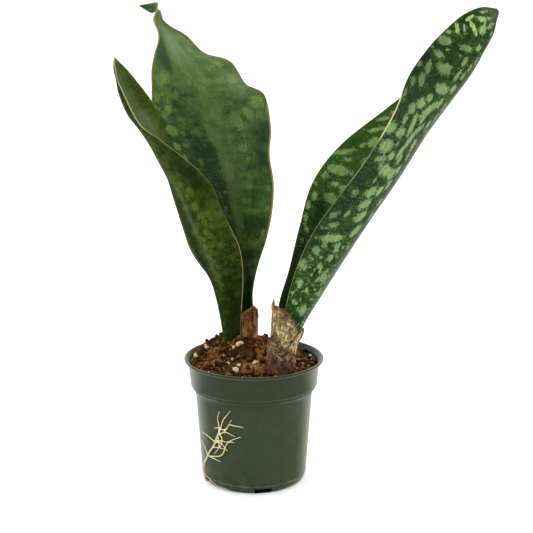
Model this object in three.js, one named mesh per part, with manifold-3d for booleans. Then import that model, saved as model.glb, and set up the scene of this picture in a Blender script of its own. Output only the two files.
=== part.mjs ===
// Whale fin snake plant in a round nursery pot. Millimetres, Z up.
// The origin is the middle of the pot's base, and the front of the pot faces -Y.

import * as THREE from "three";
import { mergeVertices } from "three/addons/utils/BufferGeometryUtils.js";
import Module from "manifold-3d";

const wasm = await Module();
wasm.setup();
const { Manifold, Mesh } = wasm;

// Pot
const POT_HEIGHT = 96;
const WALL = 1.1;
const POT_SIDES = 48;
const NOTCHES = 5;
const NOTCH_WIDTH = 13.4;
const NOTCH_HEIGHT = 3.3;
const NOTCH_INNER = 31; // distance of the notch's inner end from the axis
const NOTCH_OUTER = 45;
const FIRST_NOTCH = 10.8; // degrees from the front, towards +X

// Outside of the pot's wall, as [height, radius] from the foot to the turned lip
const OUTSIDE = [
  [0, 36.8],
  [0.8, 38.2],
  [3, 39.6],
  [6, 40],
  [69, 44.5],
  [76, 48.2],
  [91.4, 49.7],
];
const LIP = [
  [92, 51.2],
  [93.2, 52.7],
  [94.5, 53],
  [95.6, 52.7],
  [POT_HEIGHT, 52.1],
  [95.7, 51.5],
  [94.6, 50.9],
];

// Soil
const GAP = 0.3; // between pieces that touch
const SOIL_SIDES = 48;
const SOIL_EDGE = 47.9; // radius of the soil's top edge
const SOIL_RINGS = 12;
const SOIL_LEVEL = 90;
const CRUMB = 0.7; // height of the crumbs
const LUMPS = 16; // larger lumps that stand out of the surface
const LUMP_SIZE = [1.2, 2.5]; // least and greatest radius
const LUMP_REACH = 44; // the lumps lie within this distance of the axis
const GOLDEN_ANGLE = 2.4; // radians

// Shoots: the middle of each one's foot, and the height of the crown under it
const LEFT_FOOT = [-10, 20.5];
const LEFT_SEAT = 94;
const RIGHT_FOOT = [20, -19];
const RIGHT_SEAT = 83;
const CROWN_GAP = 0.8; // below the leaves, whose cut feet are not quite level
const LEFT_HOLE = [15.2, 13.2]; // half width and half depth
const RIGHT_HOLE = [12.6, 12.6];
const HOLE_DEPTH = 2; // of a hole below its seat

// Leaves
const LEAF_EDGE = 1; // thickness at the margins
const LEAF_ACROSS = 10; // quads across a blade

// Rhizome and roots
const RHIZOME = 6.5;
const STEM_ROOT = 0.9;
const FINE_ROOT = 0.55;
const ROOT_SIDES = 4;

const random = seeded(7);

function seeded(seed) {
  let state = seed;
  return () => {
    state = (state * 16807) % 2147483647;
    return state / 2147483647;
  };
}

function radians(degrees) {
  return (degrees * Math.PI) / 180;
}

// The values at x, between rows of [x, value, value, ...]
function along(rows, x) {
  let i = 0;
  while (i < rows.length - 2 && x > rows[i + 1][0]) i++;
  const [a, b] = [rows[i], rows[i + 1]];
  const f = THREE.MathUtils.clamp((x - a[0]) / (b[0] - a[0]), 0, 1);
  return a.slice(1).map((value, k) => value + (b[k + 1] - value) * f);
}

function smoothCurve(points) {
  return new THREE.CatmullRomCurve3(points, false, "catmullrom", 0.5);
}

function geometryOf(points, faces) {
  const geometry = new THREE.BufferGeometry();
  const numbers = points.flatMap((point) => point.toArray());
  geometry.setAttribute("position", new THREE.Float32BufferAttribute(numbers, 3));
  geometry.setIndex(faces);
  return geometry;
}

function toSolid(geometry) {
  const bare = geometry.clone();
  bare.deleteAttribute("normal");
  bare.deleteAttribute("uv");
  const merged = mergeVertices(bare, 1e-3);
  return new Manifold(
    new Mesh({
      numProp: 3,
      vertProperties: new Float32Array(merged.getAttribute("position").array),
      triVerts: new Uint32Array(merged.index.array),
    }),
  );
}

function toGeometry(solid) {
  const mesh = solid.getMesh();
  const geometry = new THREE.BufferGeometry();
  const position = new Float32Array(mesh.vertProperties);
  geometry.setAttribute("position", new THREE.BufferAttribute(position, 3));
  geometry.setIndex(new THREE.BufferAttribute(new Uint32Array(mesh.triVerts), 1));
  return geometry;
}

// A solid of revolution about Z from its outline of [height, radius]
function turned(outline, sides) {
  const lathe = new THREE.LatheGeometry(
    outline.map(([z, radius]) => new THREE.Vector2(radius, z)),
    sides,
  );
  lathe.rotateX(Math.PI / 2);
  return toSolid(lathe);
}

// A closed body through rings of points, with one point at each end
function ringed(start, rings, end) {
  const sides = rings[0].length;
  const points = [start, ...rings.flat(), end];
  const last = points.length - 1;
  const faces = [];
  const at = (ring, i) => 1 + ring * sides + (i % sides);
  for (let i = 0; i < sides; i++) {
    faces.push(0, at(0, i + 1), at(0, i));
    faces.push(last, at(rings.length - 1, i), at(rings.length - 1, i + 1));
    for (let ring = 0; ring < rings.length - 1; ring++) {
      const corner = at(ring + 1, i + 1);
      faces.push(at(ring, i), at(ring, i + 1), corner);
      faces.push(at(ring, i), corner, at(ring + 1, i));
    }
  }
  return toSolid(geometryOf(points, faces));
}

function circleOf(radius, sides, height) {
  return Array.from({ length: sides }, (_, i) => {
    const angle = (2 * Math.PI * i) / sides;
    const x = radius * Math.cos(angle);
    const y = radius * Math.sin(angle);
    return new THREE.Vector3(x, y, height(x, y));
  });
}

function tube(points, radius, steps, sides) {
  const circle = new THREE.Shape(
    circleOf(radius, sides, () => 0).map(({ x, y }) => new THREE.Vector2(x, y)),
  );
  const settings = { extrudePath: smoothCurve(points), steps, bevelEnabled: false };
  return toSolid(new THREE.ExtrudeGeometry(circle, settings));
}

// The hole that a tube lies in, with a round hollow past each of its ends
function tubeHole(points, radius, steps, sides) {
  const ends = [points[0], points[points.length - 1]].map((end) =>
    toSolid(new THREE.IcosahedronGeometry(radius + 3 * GAP, 1).translate(...end.toArray())),
  );
  return Manifold.union([tube(points, radius + GAP, steps, sides), ...ends]);
}

// A sheet with some thickness. surface(t, v) is its middle, with t from 0 to 1 along it and v from
// -1 to 1 across it. Both faces are split into triangles alike.
function sheet(steps, across, surface, thickness) {
  const points = [];
  const d = 1e-3;
  for (const side of [1, -1]) {
    for (let i = 0; i <= steps; i++) {
      for (let j = 0; j <= across; j++) {
        const t = i / steps;
        const v = (2 * j) / across - 1;
        const upward = surface(Math.min(t + d, 1), v).sub(surface(Math.max(t - d, 0), v));
        const sideways = surface(t, Math.min(v + d, 1)).sub(surface(t, Math.max(v - d, -1)));
        const normal = sideways.cross(upward).normalize();
        points.push(surface(t, v).addScaledVector(normal, (side * thickness(t, v)) / 2));
      }
    }
  }
  const row = across + 1;
  const back = row * (steps + 1);
  const faces = [];
  const quad = (a, b, c, e) => faces.push(a, b, c, a, c, e);
  for (let i = 0; i < steps; i++) {
    for (let j = 0; j < across; j++) {
      const a = i * row + j;
      const b = a + row + 1;
      faces.push(a, a + 1, b, a, b, a + row);
      faces.push(back + a, back + b, back + a + 1, back + a, back + a + row, back + b);
    }
    const left = i * row;
    const right = left + across;
    quad(left, left + row, back + left + row, back + left);
    quad(right + row, right, back + right, back + right + row);
  }
  for (let j = 0; j < across; j++) {
    const tip = steps * row + j;
    quad(j + 1, j, back + j, back + j + 1);
    quad(tip, tip + 1, back + tip + 1, back + tip);
  }
  return geometryOf(points, faces);
}

// A leaf through rows of three points, from its foot to its tip: one margin, the midrib and the
// other margin. The halves meet at the midrib in a fold, sharp where fold is 1 and round where it
// is 2. rib is rows of [share of the length, fold, thickness at the midrib].
function leaf({ rows, stepsPerRow, rib, waves, waveHeight }) {
  const rails = [0, 1, 2].map((k) => smoothCurve(rows.map((row) => new THREE.Vector3(...row[k]))));
  const surface = (t, v) => {
    const [a, middle, b] = rails.map((rail) => rail.getPoint(t));
    const [fold] = along(rib, t);
    const width = a.distanceTo(b);
    const point = middle.clone();
    point.addScaledVector(b.clone().sub(a), v / 2);
    point.addScaledVector(a.add(b).addScaledVector(middle, -2), Math.abs(v) ** fold / 2);
    const ripple = Math.sin(2 * Math.PI * waves * t + 2 * v) * Math.abs(v) ** 3;
    point.y += waveHeight * Math.min(width / 60, 1) * ripple;
    return point;
  };
  const thickness = (t, v) => {
    const [, middle] = along(rib, t);
    return LEAF_EDGE + (middle - LEAF_EDGE) * (1 - v * v);
  };
  return sheet((rows.length - 1) * stepsPerRow, LEAF_ACROSS, surface, thickness);
}

// A dry leaf base wrapped round a shoot. axis is rows of [height, x, y, radius], and edge is rows
// of [angle in degrees, height of the torn top edge there].
function wrap({ axis, outward, edge, foot, thick, steps, sides }) {
  const first = edge[0][0];
  const last = edge[edge.length - 1][0];
  const surface = (t, v) => {
    const angle = first + ((last - first) * (v + 1)) / 2;
    const [top] = along(edge, angle);
    const z = foot + (top - foot) * t;
    const [x, y, radius] = along(axis, z);
    const reach = radius + outward;
    return new THREE.Vector3(
      x + reach * Math.cos(radians(angle)),
      y + reach * Math.sin(radians(angle)),
      z,
    );
  };
  return sheet(steps, sides, surface, () => thick);
}

// Pot: a thin wall turned about the axis, with a raised floor and drain notches in its foot
function makePot() {
  const footRing = [
    [0, 0],
    [0, 16],
    [2, 18.5],
    [2, 33.4],
    [0, 34.2],
  ];
  const inside = OUTSIDE.slice(3)
    .map(([z, radius]) => [z + 0.2, radius - WALL])
    .reverse();
  const floor = [
    [4.2, 38],
    [3.2, 36.5],
    [3.2, 18],
    [1.2, 15.5],
    [1.2, 0],
  ];
  const body = turned([...footRing, ...OUTSIDE, ...LIP, ...inside, ...floor], POT_SIDES);
  const notches = Array.from({ length: NOTCHES }, (_, i) => {
    const depth = NOTCH_OUTER - NOTCH_INNER;
    const notch = new THREE.BoxGeometry(NOTCH_WIDTH, depth, 2 * NOTCH_HEIGHT);
    notch.translate(0, -(NOTCH_OUTER + NOTCH_INNER) / 2, 0);
    notch.rotateZ(radians(FIRST_NOTCH + (360 / NOTCHES) * i));
    return toSolid(notch);
  });
  return body.subtract(Manifold.union(notches));
}

function mound(x, y, x0, y0, spread) {
  return Math.exp(-((x - x0) ** 2 + (y - y0) ** 2) / (2 * spread ** 2));
}

// Height of the soil: banked up behind the left leaves and at the back rim, low at the front
function soilTop(x, y) {
  return (
    SOIL_LEVEL +
    0.04 * y +
    12 * mound(x, y, -20, 25, 18) +
    4.5 * mound(x, y, 3, 42, 13) +
    6 * mound(x, y, -11, 6, 6)
  );
}

// Rhizome under the soil, with a crown below each shoot. grow makes the hollow that it lies in.
function makeRhizome(grow) {
  const [lx, ly] = LEFT_FOOT;
  const [rx, ry] = RIGHT_FOOT;
  const route = [
    [lx, ly, 86],
    [-4, 11, 80],
    [7, -2, 76],
    [15, -12, 75],
    [rx, ry, 76],
  ].map((point) => new THREE.Vector3(...point));
  const leftCrown = turned(
    [
      [83 - grow, 0],
      [83 - grow, 8 + grow],
      [91, 11.8 + grow],
      [LEFT_SEAT - CROWN_GAP, 11.8 + grow],
      [LEFT_SEAT - CROWN_GAP, 0],
    ],
    20,
  );
  const rightCrown = turned(
    [
      [74 - grow, 0],
      [74 - grow, 7 + grow],
      [80, 9.5 + grow],
      [RIGHT_SEAT - CROWN_GAP, 9.5 + grow],
      [RIGHT_SEAT - CROWN_GAP, 0],
    ],
    20,
  );
  return Manifold.union([
    grow ? tubeHole(route, RHIZOME, 10, 10) : tube(route, RHIZOME, 10, 10),
    leftCrown.translate([lx, ly, 0]),
    rightCrown.translate([rx, ry, 0]),
  ]);
}

// The point on the outside of the pot at an angle from the front and a height, with a root on it
function onWall([angle, z], radius) {
  const [wall] = along(OUTSIDE, z);
  return around(angle, wall + GAP + radius, z);
}

function around(angle, reach, z) {
  return new THREE.Vector3(
    reach * Math.sin(radians(angle)),
    -reach * Math.cos(radians(angle)),
    z,
  );
}

// Buried end of the stem root, from the soil down through a drain notch
const NOTCH_ANGLE = FIRST_NOTCH - 360 / NOTCHES;
const BURIED_ROOT = [
  around(NOTCH_ANGLE, 31.5, 13),
  around(NOTCH_ANGLE, 33, 8),
  around(NOTCH_ANGLE, 34.2, 3.6),
  around(NOTCH_ANGLE, 36.8, 1.5),
  around(NOTCH_ANGLE - 2, 40.9, 2.2),
];

// Roots that grew out of a notch and up the wall, as [angle from the front, height] along each
function makeRoots() {
  const stem = [
    [-65, 6],
    [-66, 11],
    [-65, 16],
    [-59, 21],
    [-55, 25],
    [-49, 31],
    [-44, 35],
    [-41, 40],
    [-37, 46],
  ].map((place) => onWall(place, STEM_ROOT));
  const fine = [
    [[-37, 46], [-35, 50], [-36, 56], [-37, 60], [-34, 65]],
    [[-37, 46], [-34, 50], [-31, 58], [-27, 62], [-22, 67]],
    [[-37, 46], [-31, 48], [-26, 53], [-24, 56], [-21, 60]],
    [[-24, 56], [-15, 55], [-9, 55]],
    [[-37, 46], [-28, 50], [-23, 48], [-18, 47]],
    [[-42, 39], [-52, 42], [-65, 42]],
    [[-55, 25], [-61, 33], [-71, 35]],
    [[-55, 25], [-41, 27], [-33, 30], [-30, 35], [-29, 38], [-25, 42], [-19, 45], [-12, 47]],
    [[-25, 42], [-19, 42]],
    [[-41, 40], [-33, 42], [-29, 41], [-25, 42]],
    [[-38, 46], [-36, 38], [-38, 34], [-44, 29]],
    [[-46, 34], [-37, 36], [-30, 35]],
    [[-54, 25], [-45, 25], [-36, 24]],
    [[-64, 7], [-55, 5], [-46, 3], [-36, 2], [-27, 2]],
  ];
  return Manifold.union([
    tube([...BURIED_ROOT, ...stem], STEM_ROOT, 24, ROOT_SIDES + 2),
    ...fine.map((places) =>
      tube(
        places.map((place) => onWall(place, FINE_ROOT)),
        FINE_ROOT,
        places.length + 1,
        ROOT_SIDES,
      ),
    ),
  ]);
}

// Soil: fills the pot, with a crumbly top and plain holes where the plant stands
function makeSoil() {
  const side = [
    [1.5, 15.3],
    [3.5, 17.8],
    [3.5, 36.3],
    [4.6, 37.6],
    [6.5, 38.5],
    [69.3, 43],
    [76.4, 46.7],
  ].map(([z, radius]) => circleOf(radius, SOIL_SIDES, () => z));
  const top = [];
  for (let ring = 0; ring < SOIL_RINGS; ring++) {
    const radius = SOIL_EDGE * (1 - ring / SOIL_RINGS);
    const crumbs = circleOf(radius, SOIL_SIDES, soilTop);
    for (const crumb of crumbs) {
      crumb.z += CRUMB * (2 * random() - 1);
    }
    top.push(crumbs);
  }
  const bottom = new THREE.Vector3(0, 0, 1.5);
  const middle = new THREE.Vector3(0, 0, soilTop(0, 0));
  const filled = ringed(bottom, [...side, ...top], middle);
  const lumps = Array.from({ length: LUMPS }, (_, i) => {
    const angle = i * GOLDEN_ANGLE + 0.3 * random();
    const reach = LUMP_REACH * Math.sqrt((i + 0.5) / LUMPS);
    const size = THREE.MathUtils.lerp(...LUMP_SIZE, random());
    const x = reach * Math.cos(angle);
    const y = reach * Math.sin(angle);
    const lump = new THREE.IcosahedronGeometry(size, 0);
    lump.rotateX(3 * random());
    lump.translate(x, y, soilTop(x, y));
    return toSolid(lump);
  });
  const hole = (size, foot, seat) => {
    const bar = new THREE.CylinderGeometry(1, 1, POT_HEIGHT, 32).rotateX(Math.PI / 2);
    bar.scale(...size, 1);
    bar.translate(...foot, seat - HOLE_DEPTH + POT_HEIGHT / 2);
    return toSolid(bar);
  };
  const leftHole = hole(LEFT_HOLE, LEFT_FOOT, LEFT_SEAT);
  const rightHole = hole(RIGHT_HOLE, RIGHT_FOOT, RIGHT_SEAT);
  const rootHole = tubeHole(BURIED_ROOT, STEM_ROOT + GAP, 10, 8);
  const held = [leftHole, rightHole, makeRhizome(GAP), rootHole];
  return Manifold.union([filled, ...lumps]).subtract(Manifold.union(held));
}

// Broad leaf at the back left. Its upper half leans back, and its tip is twisted into a curl.
const BACK_LEAF = {
  rows: [
    [[-13, 21, 94], [-5, 28, 94], [0, 18, 94]],
    [[-13, 21, 111], [-5, 29, 108], [-1, 17, 113]],
    [[-14, 21, 126], [-6, 30, 123], [-1, 16, 130]],
    [[-17, 21, 142], [-7, 31, 136], [-1, 15, 144]],
    [[-22, 21, 162], [-10, 32, 158], [3, 13, 164]],
    [[-30, 21, 184], [-13, 33, 180], [10, 12, 186]],
    [[-39, 22, 204], [-17, 34, 202], [14, 12, 206]],
    [[-50, 22, 225], [-21, 33, 223], [15, 12, 227]],
    [[-62, 24, 246], [-27, 34, 244], [12, 17, 248]],
    [[-73, 25, 265], [-34, 36, 264], [13, 23, 268]],
    [[-76, 24, 281], [-42, 39, 281], [8, 34, 291]],
    [[-76, 25, 297], [-48, 43, 297], [-6, 46, 298]],
    [[-76, 29, 310], [-55, 48, 310], [-18, 57, 314]],
    [[-74, 37, 322], [-61, 55, 321], [-38, 64, 320]],
    [[-72, 46, 330], [-66, 61, 330], [-52, 68, 333]],
    [[-73, 55, 337], [-70, 66, 337], [-64, 70, 340]],
    [[-77, 63, 345], [-74, 69, 345], [-70, 72, 345]],
    [[-75, 66, 352], [-74, 70, 352], [-73, 74, 352]],
    [[-74, 70, 358], [-77, 72, 355], [-79, 74, 350]],
    [[-82, 71, 357], [-83, 72, 355], [-83, 73, 352]],
    [[-88, 72, 356], [-88, 72, 356], [-88, 73, 355]],
  ],
  rib: [
    [0, 2, 3.4],
    [0.3, 1.7, 2.8],
    [0.7, 1.8, 1.9],
    [0.85, 2, 1.2],
    [1, 2, 1],
  ],
  stepsPerRow: 2,
  waves: 3,
  waveHeight: 1.5,
};

// Folded leaf at the front left. It shows its outer face at the foot and its inner face at the top.
const FRONT_LEAF = {
  rows: [
    [[-9, 12, 94], [-21, 17, 94], [-15, 29, 94]],
    [[-10, 12, 112], [-22, 16, 107], [-19, 29, 109]],
    [[-9, 11, 134], [-25, 15, 128], [-22, 30, 132]],
    [[-8, 9, 156], [-29, 10, 150], [-29, 30, 152]],
    [[-10, 6, 177], [-35, 6, 168], [-40, 30, 160]],
    [[-16, 2, 193], [-41, 1, 183], [-49, 30, 173]],
    [[-23, -4, 209], [-47, -3, 199], [-54, 29, 190]],
    [[-30, -13, 229], [-53, -7, 217], [-59, 27, 209]],
    [[-39, -23, 242], [-58, -10, 230], [-62, 24, 224]],
    [[-51, -31, 254], [-66, -9, 243], [-61, 19, 242]],
    [[-66, -33, 266], [-74, -8, 258], [-64, 13, 263]],
    [[-78, -29, 274], [-82, -6, 271], [-69, 9, 277]],
    [[-86, -22, 285], [-90, -4, 281], [-75, 6, 290]],
    [[-93, -14, 298], [-96, -2, 295], [-84, 3, 303]],
    [[-97, -7, 305], [-98, -1, 305], [-91, 1, 312]],
    [[-99, -3, 314], [-100, -1, 313], [-96, 1, 317]],
    [[-100, -1, 321], [-100, 0, 321], [-100, 1, 321]],
  ],
  rib: [
    [0, 2, 3.2],
    [0.3, 1.7, 3],
    [0.7, 1.5, 2.2],
    [1, 1.6, 1],
  ],
  stepsPerRow: 2,
  waves: 3,
  waveHeight: 0.6,
};

// Tall leaf on the right, a deep channel that leans out and opens towards the upper left
const RIGHT_LEAF = {
  rows: [
    [[16, -23, 83], [24.5, -19, 83], [16, -14, 83]],
    [[18, -24, 110], [29, -18, 107], [17, -12, 111]],
    [[22, -27, 135], [36, -16, 126], [18.5, -9, 138]],
    [[30, -30, 168], [51, -14, 151], [26, -5, 164]],
    [[42, -36, 198], [68, -11, 178], [34, 2, 196]],
    [[60, -42, 226], [86, -8, 206], [44, 8, 229]],
    [[80, -43, 254], [106, -4, 235], [65, 14, 256]],
    [[98, -40, 285], [126, 0, 266], [99, 22, 282]],
    [[109, -30, 310], [143, 3, 289], [120, 30, 298]],
    [[124, -18, 329], [157, 5, 308], [137, 34, 319]],
    [[138, -9, 342], [167, 6, 326], [149, 31, 334]],
    [[150, -2, 351], [173, 7, 338], [161, 23, 344]],
    [[163, 3, 356], [175, 8, 346], [169, 15, 350]],
    [[175, 7, 355], [177, 8, 353], [176, 9, 352]],
  ],
  rib: [
    [0, 2, 3.4],
    [0.3, 1.7, 3],
    [0.7, 1.6, 2.2],
    [1, 1.6, 1.1],
  ],
  stepsPerRow: 2,
  waves: 2,
  waveHeight: 0.6,
};

// Dry leaf bases round the two shoots
const SHEATH_THICK = 0.8;
const LEFT_AXIS = [
  [94, -9.3, 21, 11.3],
  [104, -9, 21, 11.5],
  [118, -8.8, 20.8, 11.4],
  [130, -9, 20.5, 10.8],
];
const RIGHT_AXIS = [
  [83, 20, -18.8, 8],
  [92, 20.2, -18.6, 8],
  [104, 21.2, -18.3, 8.4],
  [112, 22.2, -18, 9.6],
  [125, 25.2, -18, 12],
  [140, 28, -18, 13.8],
  [150, 29.2, -18, 14],
];
const SHEATHS = {
  sheath_left: {
    axis: LEFT_AXIS,
    outward: 0,
    foot: LEFT_SEAT,
    edge: [
      [-92, 126],
      [-80, 129],
      [-60, 131],
      [-48, 133],
      [-36, 132],
      [-10, 128],
      [8, 121],
      [40, 115],
      [70, 111],
    ],
  },
  sheath_right_tall: {
    axis: RIGHT_AXIS,
    outward: 0,
    foot: RIGHT_SEAT,
    edge: [
      [-265, 118],
      [-215, 129],
      [-172, 144],
      [-158, 147],
      [-150, 143],
      [-135, 143],
      [-116, 142],
      [-95, 137.5],
      [-78, 133],
      [-65, 128],
      [-52, 124],
      [-40, 113],
    ],
  },
  sheath_right_side: {
    axis: RIGHT_AXIS,
    outward: 1.2,
    foot: RIGHT_SEAT,
    edge: [
      [-78, 108],
      [-66, 115],
      [-52, 122],
      [-40, 126],
      [-28, 125],
      [-12, 120],
      [10, 114],
      [75, 104],
    ],
  },
  sheath_right_low: {
    axis: RIGHT_AXIS,
    outward: 2.5,
    foot: RIGHT_SEAT,
    edge: [
      [-225, 98],
      [-190, 107],
      [-165, 116],
      [-148, 120],
      [-134, 115],
      [-120, 109],
      [-98, 112],
      [-80, 111],
      [-60, 109],
      [-35, 105],
      [-5, 97],
    ],
  },
};

const MATERIALS = {
  pot: [0x3d4a3d, 0.5],
  soil: [0x3a2718, 0.95],
  leaf: [0x2f4a2a, 0.45],
  sheath: [0x9a7f52, 0.85],
  scale: [0x5d4038, 0.8],
  root: [0xc9b98a, 0.7],
};

const plant = new THREE.Group();
plant.name = "potted_whale_fin_snake_plant";

function add(name, geometry, [color, roughness]) {
  const material = new THREE.MeshStandardMaterial({ color, roughness, metalness: 0 });
  const mesh = new THREE.Mesh(geometry, material);
  mesh.name = name;
  plant.add(mesh);
}

add("pot", toGeometry(makePot()), MATERIALS.pot);
add("soil", toGeometry(makeSoil()), MATERIALS.soil);
add("rhizome", toGeometry(makeRhizome(0)), MATERIALS.root);
add("roots", toGeometry(makeRoots()), MATERIALS.root);
add("leaf_back", leaf(BACK_LEAF), MATERIALS.leaf);
add("leaf_front", leaf(FRONT_LEAF), MATERIALS.leaf);
add("leaf_right", leaf(RIGHT_LEAF), MATERIALS.leaf);
for (const [name, sheath] of Object.entries(SHEATHS)) {
  const material = name === "sheath_right_low" ? MATERIALS.scale : MATERIALS.sheath;
  add(name, wrap({ ...sheath, thick: SHEATH_THICK, steps: 6, sides: 14 }), material);
}

export default plant;
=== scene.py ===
# %% [markdown]
# # A whale fin snake plant in a nursery pot
# The plant has three thick leaves, a ring of dry leaf bases, soil with white perlite, and a green plastic
# pot with roots that crept up its wall. The measured solids come first, as a fixed frame. Each step then
# makes one real thing in finer form, in the same place.

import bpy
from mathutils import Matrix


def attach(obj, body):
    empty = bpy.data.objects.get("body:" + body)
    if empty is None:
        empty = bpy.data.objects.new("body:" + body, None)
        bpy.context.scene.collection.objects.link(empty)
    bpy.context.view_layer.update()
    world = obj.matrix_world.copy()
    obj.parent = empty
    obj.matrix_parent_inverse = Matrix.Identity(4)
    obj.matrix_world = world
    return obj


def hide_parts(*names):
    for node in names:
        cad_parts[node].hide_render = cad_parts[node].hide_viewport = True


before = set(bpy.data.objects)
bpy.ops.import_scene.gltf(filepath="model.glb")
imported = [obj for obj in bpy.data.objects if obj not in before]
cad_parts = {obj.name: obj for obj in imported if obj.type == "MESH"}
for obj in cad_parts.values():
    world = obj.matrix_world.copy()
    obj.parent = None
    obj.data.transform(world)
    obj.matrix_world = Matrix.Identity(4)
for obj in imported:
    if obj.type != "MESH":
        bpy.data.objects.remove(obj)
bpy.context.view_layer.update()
print("measured solids:", sorted(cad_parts))

# %% Tools and units
import math
import random

import bmesh
import bpy
import numpy as np
from mathutils import Matrix, Vector, noise

MM = 0.001  # lengths below are in millimetres, and pieces are in metres

# %% [markdown]
# ## Camera
# The plant was seen from a little above, by a long lens, in front of a white ground. A long lens keeps the
# pot's sides nearly parallel.

# %% Camera
CAMERA_PLACE = (9.6, -895.0, 376.0)
CAMERA_TILT = 13.2  # degrees down from level
LENS = 82.94  # on a sensor 36 mm wide

camera = bpy.data.objects.new("camera", bpy.data.cameras.new("camera"))
camera.data.lens = LENS
camera.data.sensor_width = 36
camera.location = Vector(CAMERA_PLACE) * MM
camera.rotation_euler = (math.radians(90 - CAMERA_TILT), 0, 0)
bpy.context.collection.objects.link(camera)
bpy.context.scene.camera = camera
bpy.context.scene.view_settings.view_transform = "Standard"
print("camera at", tuple(round(value, 3) for value in camera.location))


# %% [markdown]
# ## Node helpers
# Every finish is built from Blender's shader nodes. A few short helpers keep each recipe readable: one
# adds a node and feeds it, others do arithmetic, mix two colours, lay one over another or read noise.


# %% Helpers for shader nodes
def paint(red, green, blue):
    """A colour from its 8-bit screen values, as Blender's linear light."""
    shares = [value / 255 for value in (red, green, blue)]
    linear = [((s + 0.055) / 1.055) ** 2.4 if s > 0.04045 else s / 12.92 for s in shares]
    return (*linear, 1.0)


def add_node(tree, kind, feeds=None, **settings):
    """A node with its settings, and with feeds that are sockets to link or plain values."""
    made = tree.nodes.new(kind)
    for name, value in settings.items():
        setattr(made, name, value)
    for place, source in (feeds or {}).items():
        if isinstance(source, bpy.types.NodeSocket):
            tree.links.new(source, made.inputs[place])
        else:
            made.inputs[place].default_value = source
    return made


def maths(tree, operation, first, second=0.0, third=0.0):
    """One step of arithmetic."""
    feeds = {0: first, 1: second, 2: third}
    return add_node(tree, "ShaderNodeMath", feeds, operation=operation).outputs[0]


def times(tree, first, second):
    """The product of two numbers."""
    return maths(tree, "MULTIPLY", first, second)


def scaled(tree, value, factor, plus):
    """A value times a factor, plus a third number."""
    return maths(tree, "MULTIPLY_ADD", value, factor, plus)


def blend(tree, share, first, second, how="MIX"):
    """Two colours mixed: share 0 gives the first, and 1 the second."""
    feeds = {0: share, 6: first, 7: second}
    settings = {"data_type": "RGBA", "blend_type": how}
    return add_node(tree, "ShaderNodeMix", feeds, **settings).outputs[2]


def lay(tree, under, mask, strength, over):
    """A colour laid over another where the mask is 1, as strongly as said."""
    return blend(tree, times(tree, mask, strength), under, over)


def split(tree, vector):
    """The X, Y and Z of a vector."""
    return add_node(tree, "ShaderNodeSeparateXYZ", {0: vector}).outputs


def ramp(tree, value, low, high):
    """0 below low, 1 above high, and smooth between them."""
    feeds = {"Value": value, "From Min": low, "From Max": high}
    settings = {"interpolation_type": "SMOOTHSTEP"}
    return add_node(tree, "ShaderNodeMapRange", feeds, **settings).outputs["Result"]


def cloud(tree, vector, scale, detail=3.0, rough=0.55, stretch=(1, 1, 1)):
    """Noise from 0 to 1, with a blob about 1/scale metres across, stretched by a factor each way."""
    feeds = {"Vector": vector, "Scale": [1 / factor for factor in stretch]}
    spread = add_node(tree, "ShaderNodeMapping", feeds)
    feeds = {"Vector": spread.outputs[0], "Scale": scale, "Detail": detail, "Roughness": rough}
    return add_node(tree, "ShaderNodeTexNoise", feeds).outputs["Fac"]


def relief(tree, height, depth, strength):
    """A normal from a height of 0 to 1 that stands for depth metres."""
    feeds = {"Height": height, "Distance": depth, "Strength": strength}
    return add_node(tree, "ShaderNodeBump", feeds).outputs["Normal"]


def attribute(tree, name):
    """A number stored on the mesh."""
    return add_node(tree, "ShaderNodeAttribute", attribute_name=name).outputs["Fac"]


def object_place(tree):
    """The piece's own coordinates, which are metres in the frame."""
    return add_node(tree, "ShaderNodeTexCoord").outputs["Object"]


def new_group(name, inputs, outputs):
    """An empty node group with named sockets, given as {name: (kind, default)} and {name: kind}."""
    tree = bpy.data.node_groups.new(name, "ShaderNodeTree")
    for label, (kind, value) in inputs.items():
        socket = tree.interface.new_socket(label, in_out="INPUT", socket_type="NodeSocket" + kind)
        if value is not None:
            socket.default_value = value
    for label, kind in outputs.items():
        tree.interface.new_socket(label, in_out="OUTPUT", socket_type="NodeSocket" + kind)
    ins = tree.nodes.new("NodeGroupInput").outputs
    outs = tree.nodes.new("NodeGroupOutput").inputs
    return tree, ins, outs


def use_group(tree, group, feeds):
    """The outputs of a group placed in a material, with its feeds."""
    return add_node(tree, "ShaderNodeGroup", feeds, node_tree=group).outputs


def new_finish(name, roughness, specular):
    """A material with one Principled shader: the material, its tree and the shader's inputs."""
    material = bpy.data.materials.new(name)
    material.use_nodes = True
    tree = material.node_tree
    shader = tree.nodes["Principled BSDF"].inputs
    shader["Roughness"].default_value = roughness
    shader["Specular IOR Level"].default_value = specular
    return material, tree, shader


print("node helpers ready")

# %% [markdown]
# ## Light and floor
# The light is soft and comes from a plain white room, as in a light tent. It is strongest from above, from
# the sides and from behind, which gives the pot and the leaves their pale rims. It is weak from the front,
# so the waxy leaves stay deep green instead of hazy. The floor is plain and pale, and wide enough to hide
# its edge.

# %% White room and pale floor
LIGHT_EVEN = 0.5
# Light added on each side: which part of an axis it comes from, and its strength
LIGHT_FROM = [
    ("MAXIMUM", "Z", 0.85),  # above
    ("ABSOLUTE", "X", 0.55),  # both sides
    ("MAXIMUM", "Y", 0.45),  # behind
    ("MINIMUM", "Y", 0.5),  # takes light away in front
]
ROOM_WHITE = 1.2  # what the eye sees behind the plant
FLOOR_SIZE = 12.0
FLOOR_WHITE = 0.94
FLOOR_GLOW = 0.3  # lifts the floor to white for the eye only

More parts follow.
